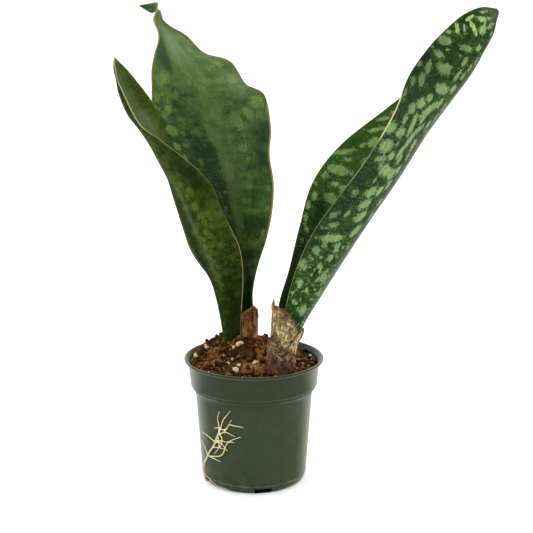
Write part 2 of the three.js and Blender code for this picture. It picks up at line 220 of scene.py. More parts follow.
world = bpy.data.worlds.new("white_room")
world.use_nodes = True
bpy.context.scene.world = world
tree = world.node_tree
toward = add_node(tree, "ShaderNodeTexCoord").outputs["Generated"]
light = LIGHT_EVEN
for part, axis, strength in LIGHT_FROM:
    light = scaled(tree, maths(tree, part, split(tree, toward)[axis]), strength, light)
seen = add_node(tree, "ShaderNodeLightPath").outputs["Is Camera Ray"]
light = scaled(tree, seen, maths(tree, "SUBTRACT", ROOM_WHITE, light), light)
background = tree.nodes["Background"].inputs
background["Color"].default_value = (1, 1, 1, 1)
tree.links.new(light, background["Strength"])

floor_shape = bmesh.new()
bmesh.ops.create_grid(floor_shape, x_segments=1, y_segments=1, size=FLOOR_SIZE / 2)
floor_mesh = bpy.data.meshes.new("floor")
floor_shape.to_mesh(floor_mesh)
floor_shape.free()
floor = bpy.data.objects.new("floor", floor_mesh)
bpy.context.collection.objects.link(floor)
floor_finish, tree, shader = new_finish("floor_white", 0.8, 0.1)
shader["Base Color"].default_value = (FLOOR_WHITE, FLOOR_WHITE, FLOOR_WHITE, 1)
shader["Emission Color"].default_value = (1, 1, 1, 1)
seen = add_node(tree, "ShaderNodeLightPath").outputs["Is Camera Ray"]
tree.links.new(times(tree, seen, FLOOR_GLOW), shader["Emission Strength"])
floor_mesh.materials.append(floor_finish)
print("floor", FLOOR_SIZE, "m wide")

# %% [markdown]
# ## Shared effects
# Three effects return on several pieces, so each is a node group with named sockets. Fibres are fine
# streaks that run along a leaf. Mottle turns a soft field of patches into the plant's pale blotches, with
# fringed ends where the colour runs along the fibres. Age lays brown stains and worn specks on dry sheaths.


# %% Group: fibres
fibres, ins, outs = new_group(
    "fibres",
    {"Vector": ("Vector", None), "Fineness": ("Float", 900.0), "Length": ("Float", 14.0)},
    {"Streak": "Float", "Broad": "Float"},
)
inverse = maths(fibres, "DIVIDE", 1.0, ins["Length"])
shrink = add_node(fibres, "ShaderNodeCombineXYZ", {"X": 1.0, "Y": inverse, "Z": 1.0}).outputs[0]
feeds = {"Vector": ins["Vector"], "Scale": shrink}
drawn = add_node(fibres, "ShaderNodeMapping", feeds).outputs[0]
fine = add_node(fibres, "ShaderNodeTexNoise", {"Vector": drawn, "Scale": ins["Fineness"], "Detail": 2.0})
wide = times(fibres, ins["Fineness"], 0.16)
broad = add_node(fibres, "ShaderNodeTexNoise", {"Vector": drawn, "Scale": wide, "Detail": 2.0})
fibres.links.new(fine.outputs["Fac"], outs["Streak"])
fibres.links.new(broad.outputs["Fac"], outs["Broad"])
print("group", fibres.name)

# %% Group: whale fin mottle
mottle, ins, outs = new_group(
    "mottle",
    {"Vector": ("Vector", None), "Patch": ("Float", 0.0), "Ragged": ("Float", 1.0), "Edge": ("Float", 0.12)},
    {"Mask": "Float"},
)
wander = cloud(mottle, ins["Vector"], 260, 3.0, 0.6, (1, 1.3, 1))
crumble = cloud(mottle, ins["Vector"], 720, 3.0, 0.75, (1, 1.5, 1))
fringe = cloud(mottle, ins["Vector"], 1500, 1.0, 0.5, (1, 5, 1))
rough = scaled(mottle, wander, 1.0, scaled(mottle, crumble, 2.0, -1.5))
rough = maths(mottle, "ADD", rough, scaled(mottle, fringe, 0.6, -0.3))
field = scaled(mottle, rough, ins["Ragged"], ins["Patch"])
low = maths(mottle, "SUBTRACT", 0.5, ins["Edge"])
high = maths(mottle, "ADD", 0.5, ins["Edge"])
mottle.links.new(ramp(mottle, field, low, high), outs["Mask"])
print("group", mottle.name)

# %% Group: age
age, ins, outs = new_group(
    "age",
    {"Vector": ("Vector", None), "Size": ("Float", 260.0), "Amount": ("Float", 0.5)},
    {"Stain": "Float", "Speck": "Float"},
)
smear = cloud(age, ins["Vector"], ins["Size"], 5.0, 0.62, (1, 1, 1.8))
level = maths(age, "SUBTRACT", 0.78, times(age, ins["Amount"], 0.45))
stain = ramp(age, smear, maths(age, "SUBTRACT", level, 0.07), maths(age, "ADD", level, 0.07))
dots = cloud(age, ins["Vector"], 1400, 2.0, 0.5)
age.links.new(stain, outs["Stain"])
age.links.new(ramp(age, dots, 0.6, 0.72), outs["Speck"])
print("group", age.name)


# %% [markdown]
# ## From a shape to a piece
# A shape is made in millimetres with bmesh. The first helper turns it into a piece in metres, gives it its
# finish and fixes it to the plant. The others spin a profile about the pot's axis, keep numbers on a mesh
# for its finish to read, and bake a piece's modifiers into its mesh.


# %% Helpers for pieces
def to_piece(name, mesh, finish, slot, stands_for=()):
    """A finished piece of the plant, from a mesh in millimetres."""
    mesh.transform(Matrix.Scale(MM, 4))
    mesh.materials.clear()
    mesh.materials.append(finish)
    mesh.shade_smooth()
    piece = bpy.data.objects.new(name, mesh)
    bpy.context.collection.objects.link(piece)
    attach(piece, "root")
    if stands_for:
        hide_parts(*stands_for)
    print(name, len(mesh.polygons), "faces")
    return piece


def mesh_of(shape, name):
    """The bmesh as a mesh, with its faces pointing out."""
    bmesh.ops.recalc_face_normals(shape, faces=shape.faces)
    mesh = bpy.data.meshes.new(name)
    shape.to_mesh(mesh)
    shape.free()
    return mesh


def turned(profile, steps):
    """A bmesh of a profile, as heights and radii, spun about the pot's axis."""
    shape = bmesh.new()
    ring = [shape.verts.new((radius, 0, z)) for z, radius in profile]
    line = [shape.edges.new(pair) for pair in zip(ring, ring[1:])]
    about = {"cent": (0, 0, 0), "axis": (0, 0, 1), "angle": math.tau}
    bmesh.ops.spin(shape, geom=ring + line, steps=steps, use_merge=True, **about)
    bmesh.ops.remove_doubles(shape, verts=shape.verts, dist=0.001)
    return shape


def store(mesh, **fields):
    """Keeps numbers under each name, one for each point or the same for all."""
    for name, values in fields.items():
        layer = mesh.attributes.new(name, "FLOAT", "POINT")
        spread = np.broadcast_to(values, len(mesh.vertices)).astype(np.float32)
        layer.data.foreach_set("value", spread)


def settle(piece):
    """Bakes the piece's modifiers into its mesh."""
    shown = piece.evaluated_get(bpy.context.evaluated_depsgraph_get())
    baked = bpy.data.meshes.new_from_object(shown)
    piece.modifiers.clear()
    worn_out = piece.data
    piece.data = baked
    bpy.data.meshes.remove(worn_out)


# %% [markdown]
# ## Pot
# The pot is moulded plastic: a thin wall, a wider band at the top and a turned lip. It could be built up
# from cylinders, but a profile spun about the axis gives wall, band, lip and floor at once, in one closed
# skin. The drain notches are cut from the foot with boxes, and a bevel modifier rounds every sharp corner,
# as the mould does.

# %% Pot profile
# Height and radius of each point. The profile runs from the middle of the underside, up the wall and over
# the lip, to the middle of the floor inside.
OUTSIDE = [(0, 36.8), (0.8, 38.2), (3, 39.6), (5.5, 39.9), (6, 40.3), (6.5, 40.1), (68.2, 44.45)]
SLOPE = [(69, 44.5), (70.6, 44.9), (72.3, 46.1), (74, 47.5), (75.2, 47.5)]
BAND = [(75.6, 47.9), (76.1, 48.35), (76.8, 48.3), (93.2, 49.9)]
LIP = [(93.6, 51.4), (94, 52.4), (94.5, 52.9), (95.2, 53), (95.6, 52.8), (95.9, 52.4), (96, 51.9)]
LIP_INSIDE = [(95.9, 51.4), (95.5, 50.9), (94.8, 50.5)]
INSIDE = [(92.8, 48.75), (76.2, 47.1), (69.2, 43.4), (6.2, 38.9), (4.2, 38), (3.2, 36.5)]
FLOOR = [(3.2, 18), (1.2, 15.5), (1.2, 0)]
UNDERSIDE = [(0, 0), (0, 16), (2, 18.5), (2, 33.4), (0, 34.2)]
POT_STEPS = 192

profile = [*UNDERSIDE, *OUTSIDE, *SLOPE, *BAND, *LIP, *LIP_INSIDE, *INSIDE, *FLOOR]
pot_shape = turned(profile, POT_STEPS)
print("pot profile of", len(profile), "points")

# %% [markdown]
# The plastic is a dull green that is not quite even. Masks by height paint shade on the slope under the band,
# make the bead at the foot paler in patches and lay dust low down, and a mask by distance from the axis
# paints nearly black shade on what lies under the foot, where it shows through the notches. A painted sheen
# makes the wall pale where it turns away, as satin plastic shows a white room, and painted shade darkens the
# inside of the band under the lip.

# %% Pot plastic
# Inner face of the band, for the painted shade inside the lip
BAND_LEAN = 0.0976  # how far the face moves out for each unit of height
BAND_FOOT = (40.5, 40)  # its radius if it ran down to the ground, as a soft step

pot_plastic, tree, shader = new_finish("pot_plastic", 0.42, 0.22)
place = object_place(tree)
sides = split(tree, place)
across = times(tree, sides["X"], sides["X"])
reach = maths(tree, "SQRT", scaled(tree, sides["Y"], sides["Y"], across))


def step_in(value, start, end):
    """0 at the start and 1 at the end, in mm, by height or by distance from the axis."""
    return ramp(tree, value, start * MM, end * MM)


tint = cloud(tree, place, 35, 3.0)
base = blend(tree, tint, paint(46, 56, 33), paint(60, 71, 45))
blotch = cloud(tree, place, 110, 4.0, 0.6)
base = lay(tree, base, ramp(tree, blotch, 0.5, 0.75), 0.3, paint(74, 86, 60))
scuff = ramp(tree, cloud(tree, place, 900, 3.0, 0.7, (4, 4, 0.6)), 0.66, 0.8)
base = lay(tree, base, scuff, 0.25, paint(112, 118, 102))
# Painted shade on the slope under the band, which faces down
painted_slope_shade = times(tree, step_in(sides["Z"], 69, 70.5), step_in(sides["Z"], 76.4, 75.2))
base = lay(tree, base, painted_slope_shade, 0.35, paint(30, 38, 20))
base = lay(tree, base, step_in(sides["Z"], 76.4, 77.5), 0.45, paint(36, 46, 26))
dusty = times(tree, step_in(sides["Z"], 20, 0), ramp(tree, blotch, 0.4, 0.7))
base = lay(tree, base, dusty, 0.3, paint(112, 108, 88))
# Paler in patches along the bead at the foot
bead = times(tree, step_in(sides["Z"], 5.4, 6), step_in(sides["Z"], 6.8, 6.2))
worn = times(tree, bead, ramp(tree, blotch, 0.3, 0.6))
base = lay(tree, base, worn, 0.6, paint(120, 126, 106))
# Painted shade, nearly black, under the foot, where it shows through the drain notches
under = times(tree, step_in(reach, 39.2, 37.8), step_in(sides["Z"], 4.5, 4.1))
base = blend(tree, under, base, paint(7, 7, 5))
# Painted sheen: the wall turns pale where it turns away, and less so on the shaded slope
facing = add_node(tree, "ShaderNodeLayerWeight", {"Blend": 0.5}).outputs["Facing"]
painted_wall_sheen = times(tree, ramp(tree, facing, 0.42, 0.95), scaled(tree, painted_slope_shade, -0.7, 1.0))
base = lay(tree, base, painted_wall_sheen, 0.75, paint(160, 170, 148))
# Painted shade on the inner face of the band, under the lip
from_wall = scaled(tree, sides["Z"], -BAND_LEAN, reach)
painted_band_shade = times(tree, step_in(from_wall, *BAND_FOOT), step_in(sides["Z"], 78, 82))
base = lay(tree, base, painted_band_shade, 0.85, paint(16, 19, 9))
tree.links.new(base, shader["Base Color"])
rough = scaled(tree, cloud(tree, place, 180, 3.0), 0.16, 0.34)
tree.links.new(rough, shader["Roughness"])
orange_peel = cloud(tree, place, 700, 2.0)
tree.links.new(relief(tree, orange_peel, 0.12 * MM, 0.5), shader["Normal"])
print("finish", pot_plastic.name)

# %% Pot piece with its drain notches
NOTCHES = 5
NOTCH_SIZE = (13.4, 14, 8.4)
NOTCH_MIDDLE = 38  # distance from the axis
FIRST_NOTCH = 10.8  # degrees from the front, towards +X
ROUNDING = 0.25


def notch_places(size, reach, z):
    """For each drain notch, the matrix of a box of that size, at a distance from the axis."""
    places = []
    for turn in range(NOTCHES):
        spot = Matrix.Rotation(math.radians(FIRST_NOTCH + turn * 360 / NOTCHES), 4, "Z")
        places.append(spot @ Matrix.Translation((0, -reach, z)) @ Matrix.Diagonal((*size, 1)))
    return places


pot = to_piece("pot_shell", mesh_of(pot_shape, "pot_shell"), pot_plastic, "pot", ["pot"])
cutter_shape = bmesh.new()
for spot in notch_places(NOTCH_SIZE, NOTCH_MIDDLE, 0):
    bmesh.ops.create_cube(cutter_shape, size=1, matrix=Matrix.Scale(MM, 4) @ spot)
cutter = bpy.data.objects.new("notch_cutter", mesh_of(cutter_shape, "notch_cutter"))
bpy.context.collection.objects.link(cutter)
cut = pot.modifiers.new("notches", "BOOLEAN")
cut.operation = "DIFFERENCE"
cut.solver = "EXACT"
cut.object = cutter
soften = pot.modifiers.new("rounded", "BEVEL")
soften.width = ROUNDING * MM
soften.segments = 2
soften.limit_method = "ANGLE"
soften.angle_limit = math.radians(25)
settle(pot)
bpy.data.objects.remove(cutter)
pot.data.shade_smooth()
print("pot with", NOTCHES, "notches")

# %% [markdown]
# ## Soil
# Potting soil is crumbs of peat with white perlite. Its body is spun like the pot, so that it fills the
# pot, and its top is then pushed up and down by noise in three sizes. A bump in the material would be
# cheaper, but it would leave a flat outline against the pot's wall. The heights come from functions, so the
# loose lumps can ask them where the ground is.

# %% Soil body
# Height and radius of each point, from the middle of the floor up along the pot's wall
SOIL_SIDE = [(1.5, 0), (1.5, 15.3), (3.5, 17.8), (3.5, 36.3), (6.5, 38.5), (69.3, 43), (76.4, 46.7)]
SOIL_LEVEL = 90
SOIL_TILT = 0.04  # rise towards the back for each unit of depth
SOIL_EDGE = 48.2  # radius
SOIL_STEPS = 300
SOIL_RINGS = 92
CRUMB = 2.4  # greatest lift of the crumbs
LUMPS = [(4.5, 0.4), (2.4, 0.4), (1.2, 0.2)]  # size of the lumps, and their share of the lift
SWELL = 0.7  # height of a slow swell under the lumps
# Height, x, y and spread of each bank
MOUNDS = [
    (12, -20, 25, 18), (4.5, 3, 42, 13), (6, -11, 6, 6), (3.5, -13, 8, 3.5), (10, -1, 11, 7),
    (2.2, -40, -12, 16), (1.6, -2, -13, 7),
]
GOLDEN = (-2, -13, 9)  # x, y and reach of a patch of paler crumbs


def soil_top(x, y):
    """Height of the smooth soil: banked up at the back left, low at the front right."""
    rise = SOIL_LEVEL + SOIL_TILT * y
    for height, x0, y0, spread in MOUNDS:
        rise += height * math.exp(-((x - x0) ** 2 + (y - y0) ** 2) / (2 * spread**2))
    return rise


def golden(x, y):
    """How pale the soil is by nature at a point."""
    x0, y0, reach = GOLDEN
    return math.exp(-((x - x0) ** 2 + (y - y0) ** 2) / reach**2)


def crumbly(x, y):
    """How far the crumbs lift the soil at a point."""
    lift = 0
    for size, share in LUMPS:
        nearest = noise.voronoi(Vector((x / size, y / size, size)))[0][0]
        lift += share * (0.6 - nearest)
    return CRUMB * lift + SWELL * noise.noise(Vector((x / 9, y / 9, 3)))


top = [(SOIL_LEVEL, SOIL_EDGE * (1 - step / SOIL_RINGS)) for step in range(SOIL_RINGS + 1)]
soil_shape = turned(SOIL_SIDE + top, SOIL_STEPS)
for vertex in soil_shape.verts:
    if vertex.co.z > SOIL_LEVEL - 1:
        x, y, _ = vertex.co
        vertex.co.z = soil_top(x, y) + crumbly(x, y)
print("soil top with", SOIL_RINGS * SOIL_STEPS, "cells")


# %% [markdown]
# Damp peat is golden brown on its crumbs. Each point of the soil keeps a tone, which is high where a crumb
# stands up and low in the gaps, so it paints light on the crumbs and nearly black shade in the gaps; it is
# also high in a patch of paler crumbs. One recipe turns noise and tone into three browns. Perlite is puffed
# glass, so it is white with fine pores.


# %% Soil finishes
def soil_finish(name, dark, mid, light):
    """Damp peat: three browns mixed by noise and by the tone on the mesh, which on the soil bed is painted
    light on the crumbs and painted shade in the gaps.
    """
    dark, mid, light = (paint(*levels) for levels in (dark, mid, light))
    material, tree, shader = new_finish(name, 0.95, 0.1)
    place = object_place(tree)
    patch = cloud(tree, place, 90, 5.0, 0.65)
    grain = cloud(tree, place, 650, 4.0, 0.7)
    share = scaled(tree, grain, 0.7, scaled(tree, patch, 0.8, -0.75))
    share = scaled(tree, attribute(tree, "tone"), 0.5, share)
    colour = blend(tree, ramp(tree, share, -0.08, 0.24), dark, mid)
    colour = blend(tree, ramp(tree, share, 0.2, 0.5), colour, light)
    tree.links.new(colour, shader["Base Color"])
    tree.links.new(relief(tree, grain, 0.6 * MM, 0.7), shader["Normal"])
    return material


peat = soil_finish("peat", (4, 2, 1), (72, 44, 17), (148, 104, 52))
straw = soil_finish("straw", (70, 44, 20), (122, 84, 44), (176, 138, 88))

perlite_white, tree, shader = new_finish("perlite_white", 0.85, 0.3)
place = object_place(tree)
pores = cloud(tree, place, 1800, 3.0, 0.7)
colour = blend(tree, ramp(tree, pores, 0.35, 0.6), paint(196, 160, 112), paint(252, 238, 206))
tree.links.new(colour, shader["Base Color"])
tree.links.new(relief(tree, pores, 0.4 * MM, 0.8), shader["Normal"])
print("soil finishes ready")


# %% Soil body piece
soil_mesh = mesh_of(soil_shape, "soil_bed")
tones = []
for vertex in soil_mesh.vertices:
    x, y, _ = vertex.co
    # Tone: painted light where a crumb stands up, painted shade in the gaps, plus the paler golden patch
    tones.append(0.3 + 0.55 * crumbly(x, y) + 0.7 * golden(x, y))
store(soil_mesh, tone=tones)
to_piece("soil_bed", soil_mesh, peat, "soil", ["soil"])


# %% [markdown]
# Loose crumbs, fibres, perlite and flakes of bark lie on the soil. Particles could scatter them, but plain
# balls in one mesh for each kind are easier to keep and to count. Each ball is roughened, turned, squashed
# and sunk a little, so that it throws a real shadow. The perlite that catches the eye has places of its own.


# %% Crumbs, fibres and perlite
SCATTER_REACH = 47
LUMPINESS = 2.55  # waves of roughness across a lump
SOIL_SEED = 11


def scatter(name, places, finish, rng, roundness, stretch=1.0):
    """Small lumps (x, y, size), each a rough ball of its own shape, sunk into the soil."""
    shape = bmesh.new()
    tones = []
    for x, y, size in places:
        turn = Matrix.Rotation(rng.uniform(0, math.tau), 4, "Z") @ Matrix.Rotation(rng.uniform(-1, 1), 4, "X")
        squash = Matrix.Diagonal((stretch * rng.uniform(0.8, 1.3), rng.uniform(0.7, 1.1) / stretch, 0.8, 1))
        seat = Matrix.Translation((x, y, soil_top(x, y) + crumbly(x, y) + 0.25 * size))
        ball = bmesh.ops.create_icosphere(shape, subdivisions=2, radius=size / 2, matrix=seat @ turn @ squash)
        tone = rng.random() + 0.5 * golden(x, y)
        for vertex in ball["verts"]:
            away = vertex.co - seat.translation
            rough = noise.noise(vertex.co * LUMPINESS / max(size, 0.8))
            vertex.co = seat.translation + away * (1 + 0.8 * (1 - roundness) * rough)
            tones.append(tone)
    mesh = bpy.data.meshes.new(name)
    shape.to_mesh(mesh)
    shape.free()
    store(mesh, tone=tones)
    to_piece(name, mesh, finish, "soil")


def anywhere(rng, count, least, most):
    """Random places over the soil, most of them small."""
    places = []
    for _ in range(count):
        reach = SCATTER_REACH * math.sqrt(rng.random())
        angle = rng.uniform(0, math.tau)
        size = least + (most - least) * rng.random() ** 2.5
        places.append((reach * math.cos(angle), reach * math.sin(angle), size))
    return places


# Perlite that shows, as x, y and size
PERLITE_SEEN = [
    (-14, -22.5, 6.4), (-11.2, -14.4, 3), (-2.8, -16.6, 2.6), (0.6, -9.5, 4), (-4.8, -2.8, 3),
    (2.5, -5.5, 3), (-12.1, 2.8, 4.6), (-15.3, 2.6, 3.2), (-9.9, 3.5, 3.2), (-36.3, 13.3, 3.2),
    (-44.3, 2.9, 3.4), (-45, 8, 2.4), (-42.2, -2.7, 2.4), (-37.7, 18.7, 2.6), (-29.6, 7.1, 2.6),
    (-25.1, -8, 2.6), (-19.8, -9.8, 2.8), (-30, -13, 2.2), (-16.2, -5.1, 2.6), (-23, -1, 2.2),
    (36.6, -4, 3.6), (34.3, 5.7, 2.6), (31.8, -12.7, 2.6), (43.6, 16.3, 2.6),
]
FLAKES_SEEN = [(10.7, -15.5, 5), (12, -19, 3.6), (5.1, -4.5, 4.6)]

rng = random.Random(SOIL_SEED)
scatter("soil_crumbs", anywhere(rng, 760, 0.9, 4.6), peat, rng, 0.1)
scatter("soil_fibres", anywhere(rng, 170, 0.9, 2.2), straw, rng, 0.5, 1.9)
scatter("perlite", PERLITE_SEEN + anywhere(rng, 70, 0.7, 1.9), perlite_white, rng, 0.45)
scatter("bark_flakes", FLAKES_SEEN + anywhere(rng, 12, 1.5, 3), straw, rng, 0.6, 1.5)

# %% [markdown]
# A rough block of soil sits behind each drain notch, painted nearly black as the shade inside the notch. Its
# lumps come from a noise vector. Blender seeds that by the clock, so a seed is set first, or every run would
# differ.

# %% Soil in the drain notches, painted dark as shade
NOTCH_SOIL = (12.4, 5.6, 2.9)  # width, depth and height
NOTCH_SOIL_REACH = 34.4  # distance from the axis
NOTCH_SOIL_HEIGHT = 1.6  # of its middle
NOTCH_SOIL_SEED = 1795621622  # any whole number but 0, which means the clock

noise.seed_set(NOTCH_SOIL_SEED)
plug_shape = bmesh.new()
for spot in notch_places(NOTCH_SOIL, NOTCH_SOIL_REACH, NOTCH_SOIL_HEIGHT):
    bmesh.ops.create_cube(plug_shape, size=1, matrix=spot)
bmesh.ops.subdivide_edges(plug_shape, edges=plug_shape.edges, cuts=7, use_grid_fill=True)
for vertex in plug_shape.verts:
    vertex.co += 0.5 * noise.noise_vector(vertex.co * 0.9)
    vertex.co.z = max(vertex.co.z, 0.05)
plug_mesh = mesh_of(plug_shape, "notch_soil")
store(plug_mesh, tone=0.0)
# Painted shade: the soil in the notches is nearly black
peat_shade = soil_finish("peat_shade", (8, 6, 4), (20, 15, 10), (36, 28, 18))
to_piece("notch_soil", plug_mesh, peat_shade, "soil")

# %% [markdown]
# ## Leaves
# Each leaf is a thick blade that three long curves hold: its two margins and its midrib. It could be
# sculpted by hand, but rows of three points are few enough to measure, and they can be changed one by one.
# The blade is drawn as a flat slab first, with two faces and a rim, and every point is then carried to the
# curved surface, half the leaf's thickness to its own side. The slab keeps a map in real metres, across and
# along, for the markings.

# %% Blade curves
# Rows from the foot to the tip: one margin, the midrib and the other margin, in millimetres. The rib gives
# at shares of the length how sharply the blade folds there, and how thick it is.
BACK_LEAF = {
    "rows": [
        [(-13, 21, 94), (-5, 28, 94), (0, 18, 94)],
        [(-13, 21, 111), (-5, 29, 108), (-1, 17, 113)],
        [(-14, 21, 126), (-6, 30, 123), (-1, 16, 130)],
        [(-17, 21, 142), (-7, 31, 136), (-1, 15, 144)],
        [(-22, 21, 162), (-10, 32, 158), (3, 13, 164)],
        [(-30, 21, 184), (-13, 33, 180), (10, 12, 186)],
        [(-39, 22, 204), (-17, 34, 202), (14, 12, 206)],
        [(-50, 22, 225), (-21, 33, 223), (15, 12, 227)],
        [(-62, 24, 246), (-27, 34, 244), (12, 17, 248)],
        [(-73, 25, 265), (-34, 36, 264), (13, 23, 268)],
        [(-76, 24, 281), (-42, 39, 281), (8, 34, 291)],
        [(-76, 25, 297), (-48, 43, 297), (-6, 46, 298)],
        [(-76, 29, 310), (-55, 48, 310), (-18, 57, 314)],
        [(-74, 37, 322), (-61, 55, 321), (-38, 64, 320)],
        [(-72, 46, 330), (-66, 61, 330), (-52, 68, 333)],
        [(-73, 55, 337), (-70, 66, 337), (-64, 70, 340)],
        [(-77, 63, 345), (-74, 69, 345), (-70, 72, 345)],
        [(-75, 66, 352), (-74, 70, 352), (-73, 74, 352)],
        [(-74, 70, 358), (-77, 72, 355), (-79, 74, 350)],
        [(-82, 71, 357), (-83, 72, 355), (-83, 73, 352)],
        [(-88, 72, 356), (-88, 72, 356), (-88, 73, 355)],
    ],
    "rib": [(0, 2, 3.4), (0.3, 1.7, 2.8), (0.7, 1.8, 1.9), (0.85, 2, 1.2), (1, 2, 1)],
    "waves": 3,
    "wave_height": 1.5,
}
FRONT_LEAF = {
    "rows": [
        [(-9, 12, 94), (-21, 17, 94), (-15, 29, 94)],
        [(-10, 12, 112), (-22, 16, 107), (-19, 29, 109)],
        [(-9, 11, 134), (-25, 15, 128), (-22, 30, 132)],
        [(-8, 9, 156), (-29, 10, 150), (-29, 30, 152)],
        [(-10, 6, 177), (-35, 6, 168), (-40, 30, 160)],
        [(-16, 2, 193), (-41, 1, 183), (-49, 30, 173)],
        [(-23, -4, 209), (-47, -3, 199), (-54, 29, 190)],
        [(-30, -13, 229), (-53, -7, 217), (-59, 27, 209)],
        [(-39, -23, 242), (-58, -10, 230), (-62, 24, 224)],
        [(-51, -31, 254), (-66, -9, 243), (-61, 19, 242)],
        [(-66, -33, 266), (-74, -8, 258), (-64, 13, 263)],
        [(-78, -29, 274), (-82, -6, 271), (-69, 9, 277)],
        [(-86, -22, 285), (-90, -4, 281), (-75, 6, 290)],
        [(-93, -14, 298), (-96, -2, 295), (-84, 3, 303)],
        [(-97, -7, 305), (-98, -1, 305), (-91, 1, 312)],
        [(-99, -3, 314), (-100, -1, 313), (-96, 1, 317)],
        [(-100, -1, 321), (-100, 0, 321), (-100, 1, 321)],
    ],
    "rib": [(0, 2, 3.2), (0.3, 1.7, 3), (0.7, 1.5, 2.2), (1, 1.6, 1)],
    "waves": 3,
    "wave_height": 0.6,
}
RIGHT_LEAF = {
    "rows": [
        [(16, -23, 83), (24.5, -19, 83), (16, -14, 83)],
        [(18, -24, 110), (29, -18, 107), (17, -12, 111)],
        [(22, -27, 135), (36, -16, 126), (18.5, -9, 138)],
        [(30, -30, 168), (51, -14, 151), (26, -5, 164)],
        [(42, -36, 198), (68, -11, 178), (34, 2, 196)],
        [(60, -42, 226), (86, -8, 206), (44, 8, 229)],
        [(80, -43, 254), (106, -4, 235), (65, 14, 256)],
        [(98, -40, 285), (126, 0, 266), (99, 22, 282)],
        [(109, -30, 310), (143, 3, 289), (120, 30, 298)],
        [(124, -18, 329), (157, 5, 308), (137, 34, 319)],
        [(138, -9, 342), (167, 6, 326), (149, 31, 334)],
        [(150, -2, 351), (173, 7, 338), (161, 23, 344)],
        [(163, 3, 356), (175, 8, 346), (169, 15, 350)],
        [(175, 7, 355), (177, 8, 353), (176, 9, 352)],
    ],
    "rib": [(0, 2, 3.4), (0.3, 1.7, 3), (0.7, 1.6, 2.2), (1, 1.6, 1.1)],
    "waves": 2,
    "wave_height": 0.6,
}
print("leaf lengths in rows:", [len(leaf["rows"]) for leaf in (BACK_LEAF, FRONT_LEAF, RIGHT_LEAF)])


# %% Blade surface
FULL_WAVE_WIDTH = 60  # a narrower blade waves less


def smooth_curve(points, t):
    """Catmull-Rom curve through the points, at shares t of its rows."""
    points = np.asarray(points, float)
    last = len(points) - 1
    padded = np.vstack([2 * points[0] - points[1], points, 2 * points[-1] - points[-2]])
    place = np.clip(t, 0, 1) * last
    i = np.minimum(place.astype(int), last - 1)
    w = (place - i)[..., None]
    a, b, c, d = (padded[i + k] for k in range(4))
    curve = 2 * b + (c - a) * w
    curve += (2 * a - 5 * b + 4 * c - d) * w**2 + (3 * b - a - 3 * c + d) * w**3
    return curve / 2


def three_lines(leaf, t):
    """The near margin, the midrib and the far margin at shares t of the length."""
    return [smooth_curve([row[k] for row in leaf["rows"]], t) for k in range(3)]


def along_rib(leaf, t, column):
    """A value of the rib's list, between its stations."""
    stations = np.array(leaf["rib"])
    return np.interp(t, stations[:, 0], stations[:, column])


def blade_point(leaf, t, v):
    """The middle of the blade, t from foot to tip and v from -1 to 1 across."""
    near, rib, far = three_lines(leaf, t)
    fold = along_rib(leaf, t, 1)
    width = np.linalg.norm(near - far, axis=-1)
    point = rib + (far - near) * v[..., None] / 2
    point += (near + far - 2 * rib) * (np.abs(v) ** fold)[..., None] / 2
    ripple = np.sin(2 * np.pi * leaf["waves"] * t + 2 * v) * np.abs(v) ** 3
    point[..., 1] += leaf["wave_height"] * np.minimum(width / FULL_WAVE_WIDTH, 1) * ripple
    return point


def slab(name, across, along, thickness=0.1):
    """A flat slab by operators, with x and y of each point from -1 to 1 and which face it is on."""
    shape = bmesh.new()
    bmesh.ops.create_grid(shape, x_segments=across, y_segments=along, size=1)
    bmesh.ops.solidify(shape, geom=shape.faces[:], thickness=thickness)
    mesh = bpy.data.meshes.new(name)
    shape.to_mesh(mesh)
    shape.free()
    flat = np.empty(len(mesh.vertices) * 3, np.float32)
    mesh.vertices.foreach_get("co", flat)
    x, y, z = flat.reshape(-1, 3).T.astype(float)
    return mesh, x, y, np.where(z > -thickness / 2, 1.0, -1.0)


def bend(mesh, point, normal, thickness, face):
    """Carries the slab's points to a curved surface, half the thickness to their own side."""
    placed = point + normal * (face * thickness / 2)[:, None]
    mesh.vertices.foreach_set("co", placed.astype(np.float32).ravel())
    mesh.update()


def store_map(mesh, u, v):
    """A UV map in metres."""
    corners = np.empty(len(mesh.loops), np.int32)
    mesh.loops.foreach_get("vertex_index", corners)
    layer = mesh.uv_layers.new(name="blade_map")
    layer.uv.foreach_set("vector", np.stack([u[corners], v[corners]], 1).astype(np.float32).ravel())


def surface_frame(surface, t, v):
    """Points of a surface and its unit normals, from small steps along and across."""
    step = 1e-3
    upward = surface(np.minimum(t + step, 1), v) - surface(np.maximum(t - step, 0), v)
    sideways = surface(t, np.minimum(v + step, 1)) - surface(t, np.maximum(v - step, -1))
    normal = np.cross(sideways, upward)
    normal /= np.maximum(np.linalg.norm(normal, axis=-1, keepdims=True), 1e-9)
    return surface(t, v), normal


print("blade helpers ready")

# %% [markdown]
# ## Markings
# The pale blotches of this species stand in loose rows across the blade. Plain noise gives blotches too, but
# not these rows. So each face has a list of patches: where along the leaf, where across it, how long and how
# wide. Seeded random patches fill the sides that the list leaves free. The patches are only a soft field on
# the mesh, and the mottle group draws their ragged ends.

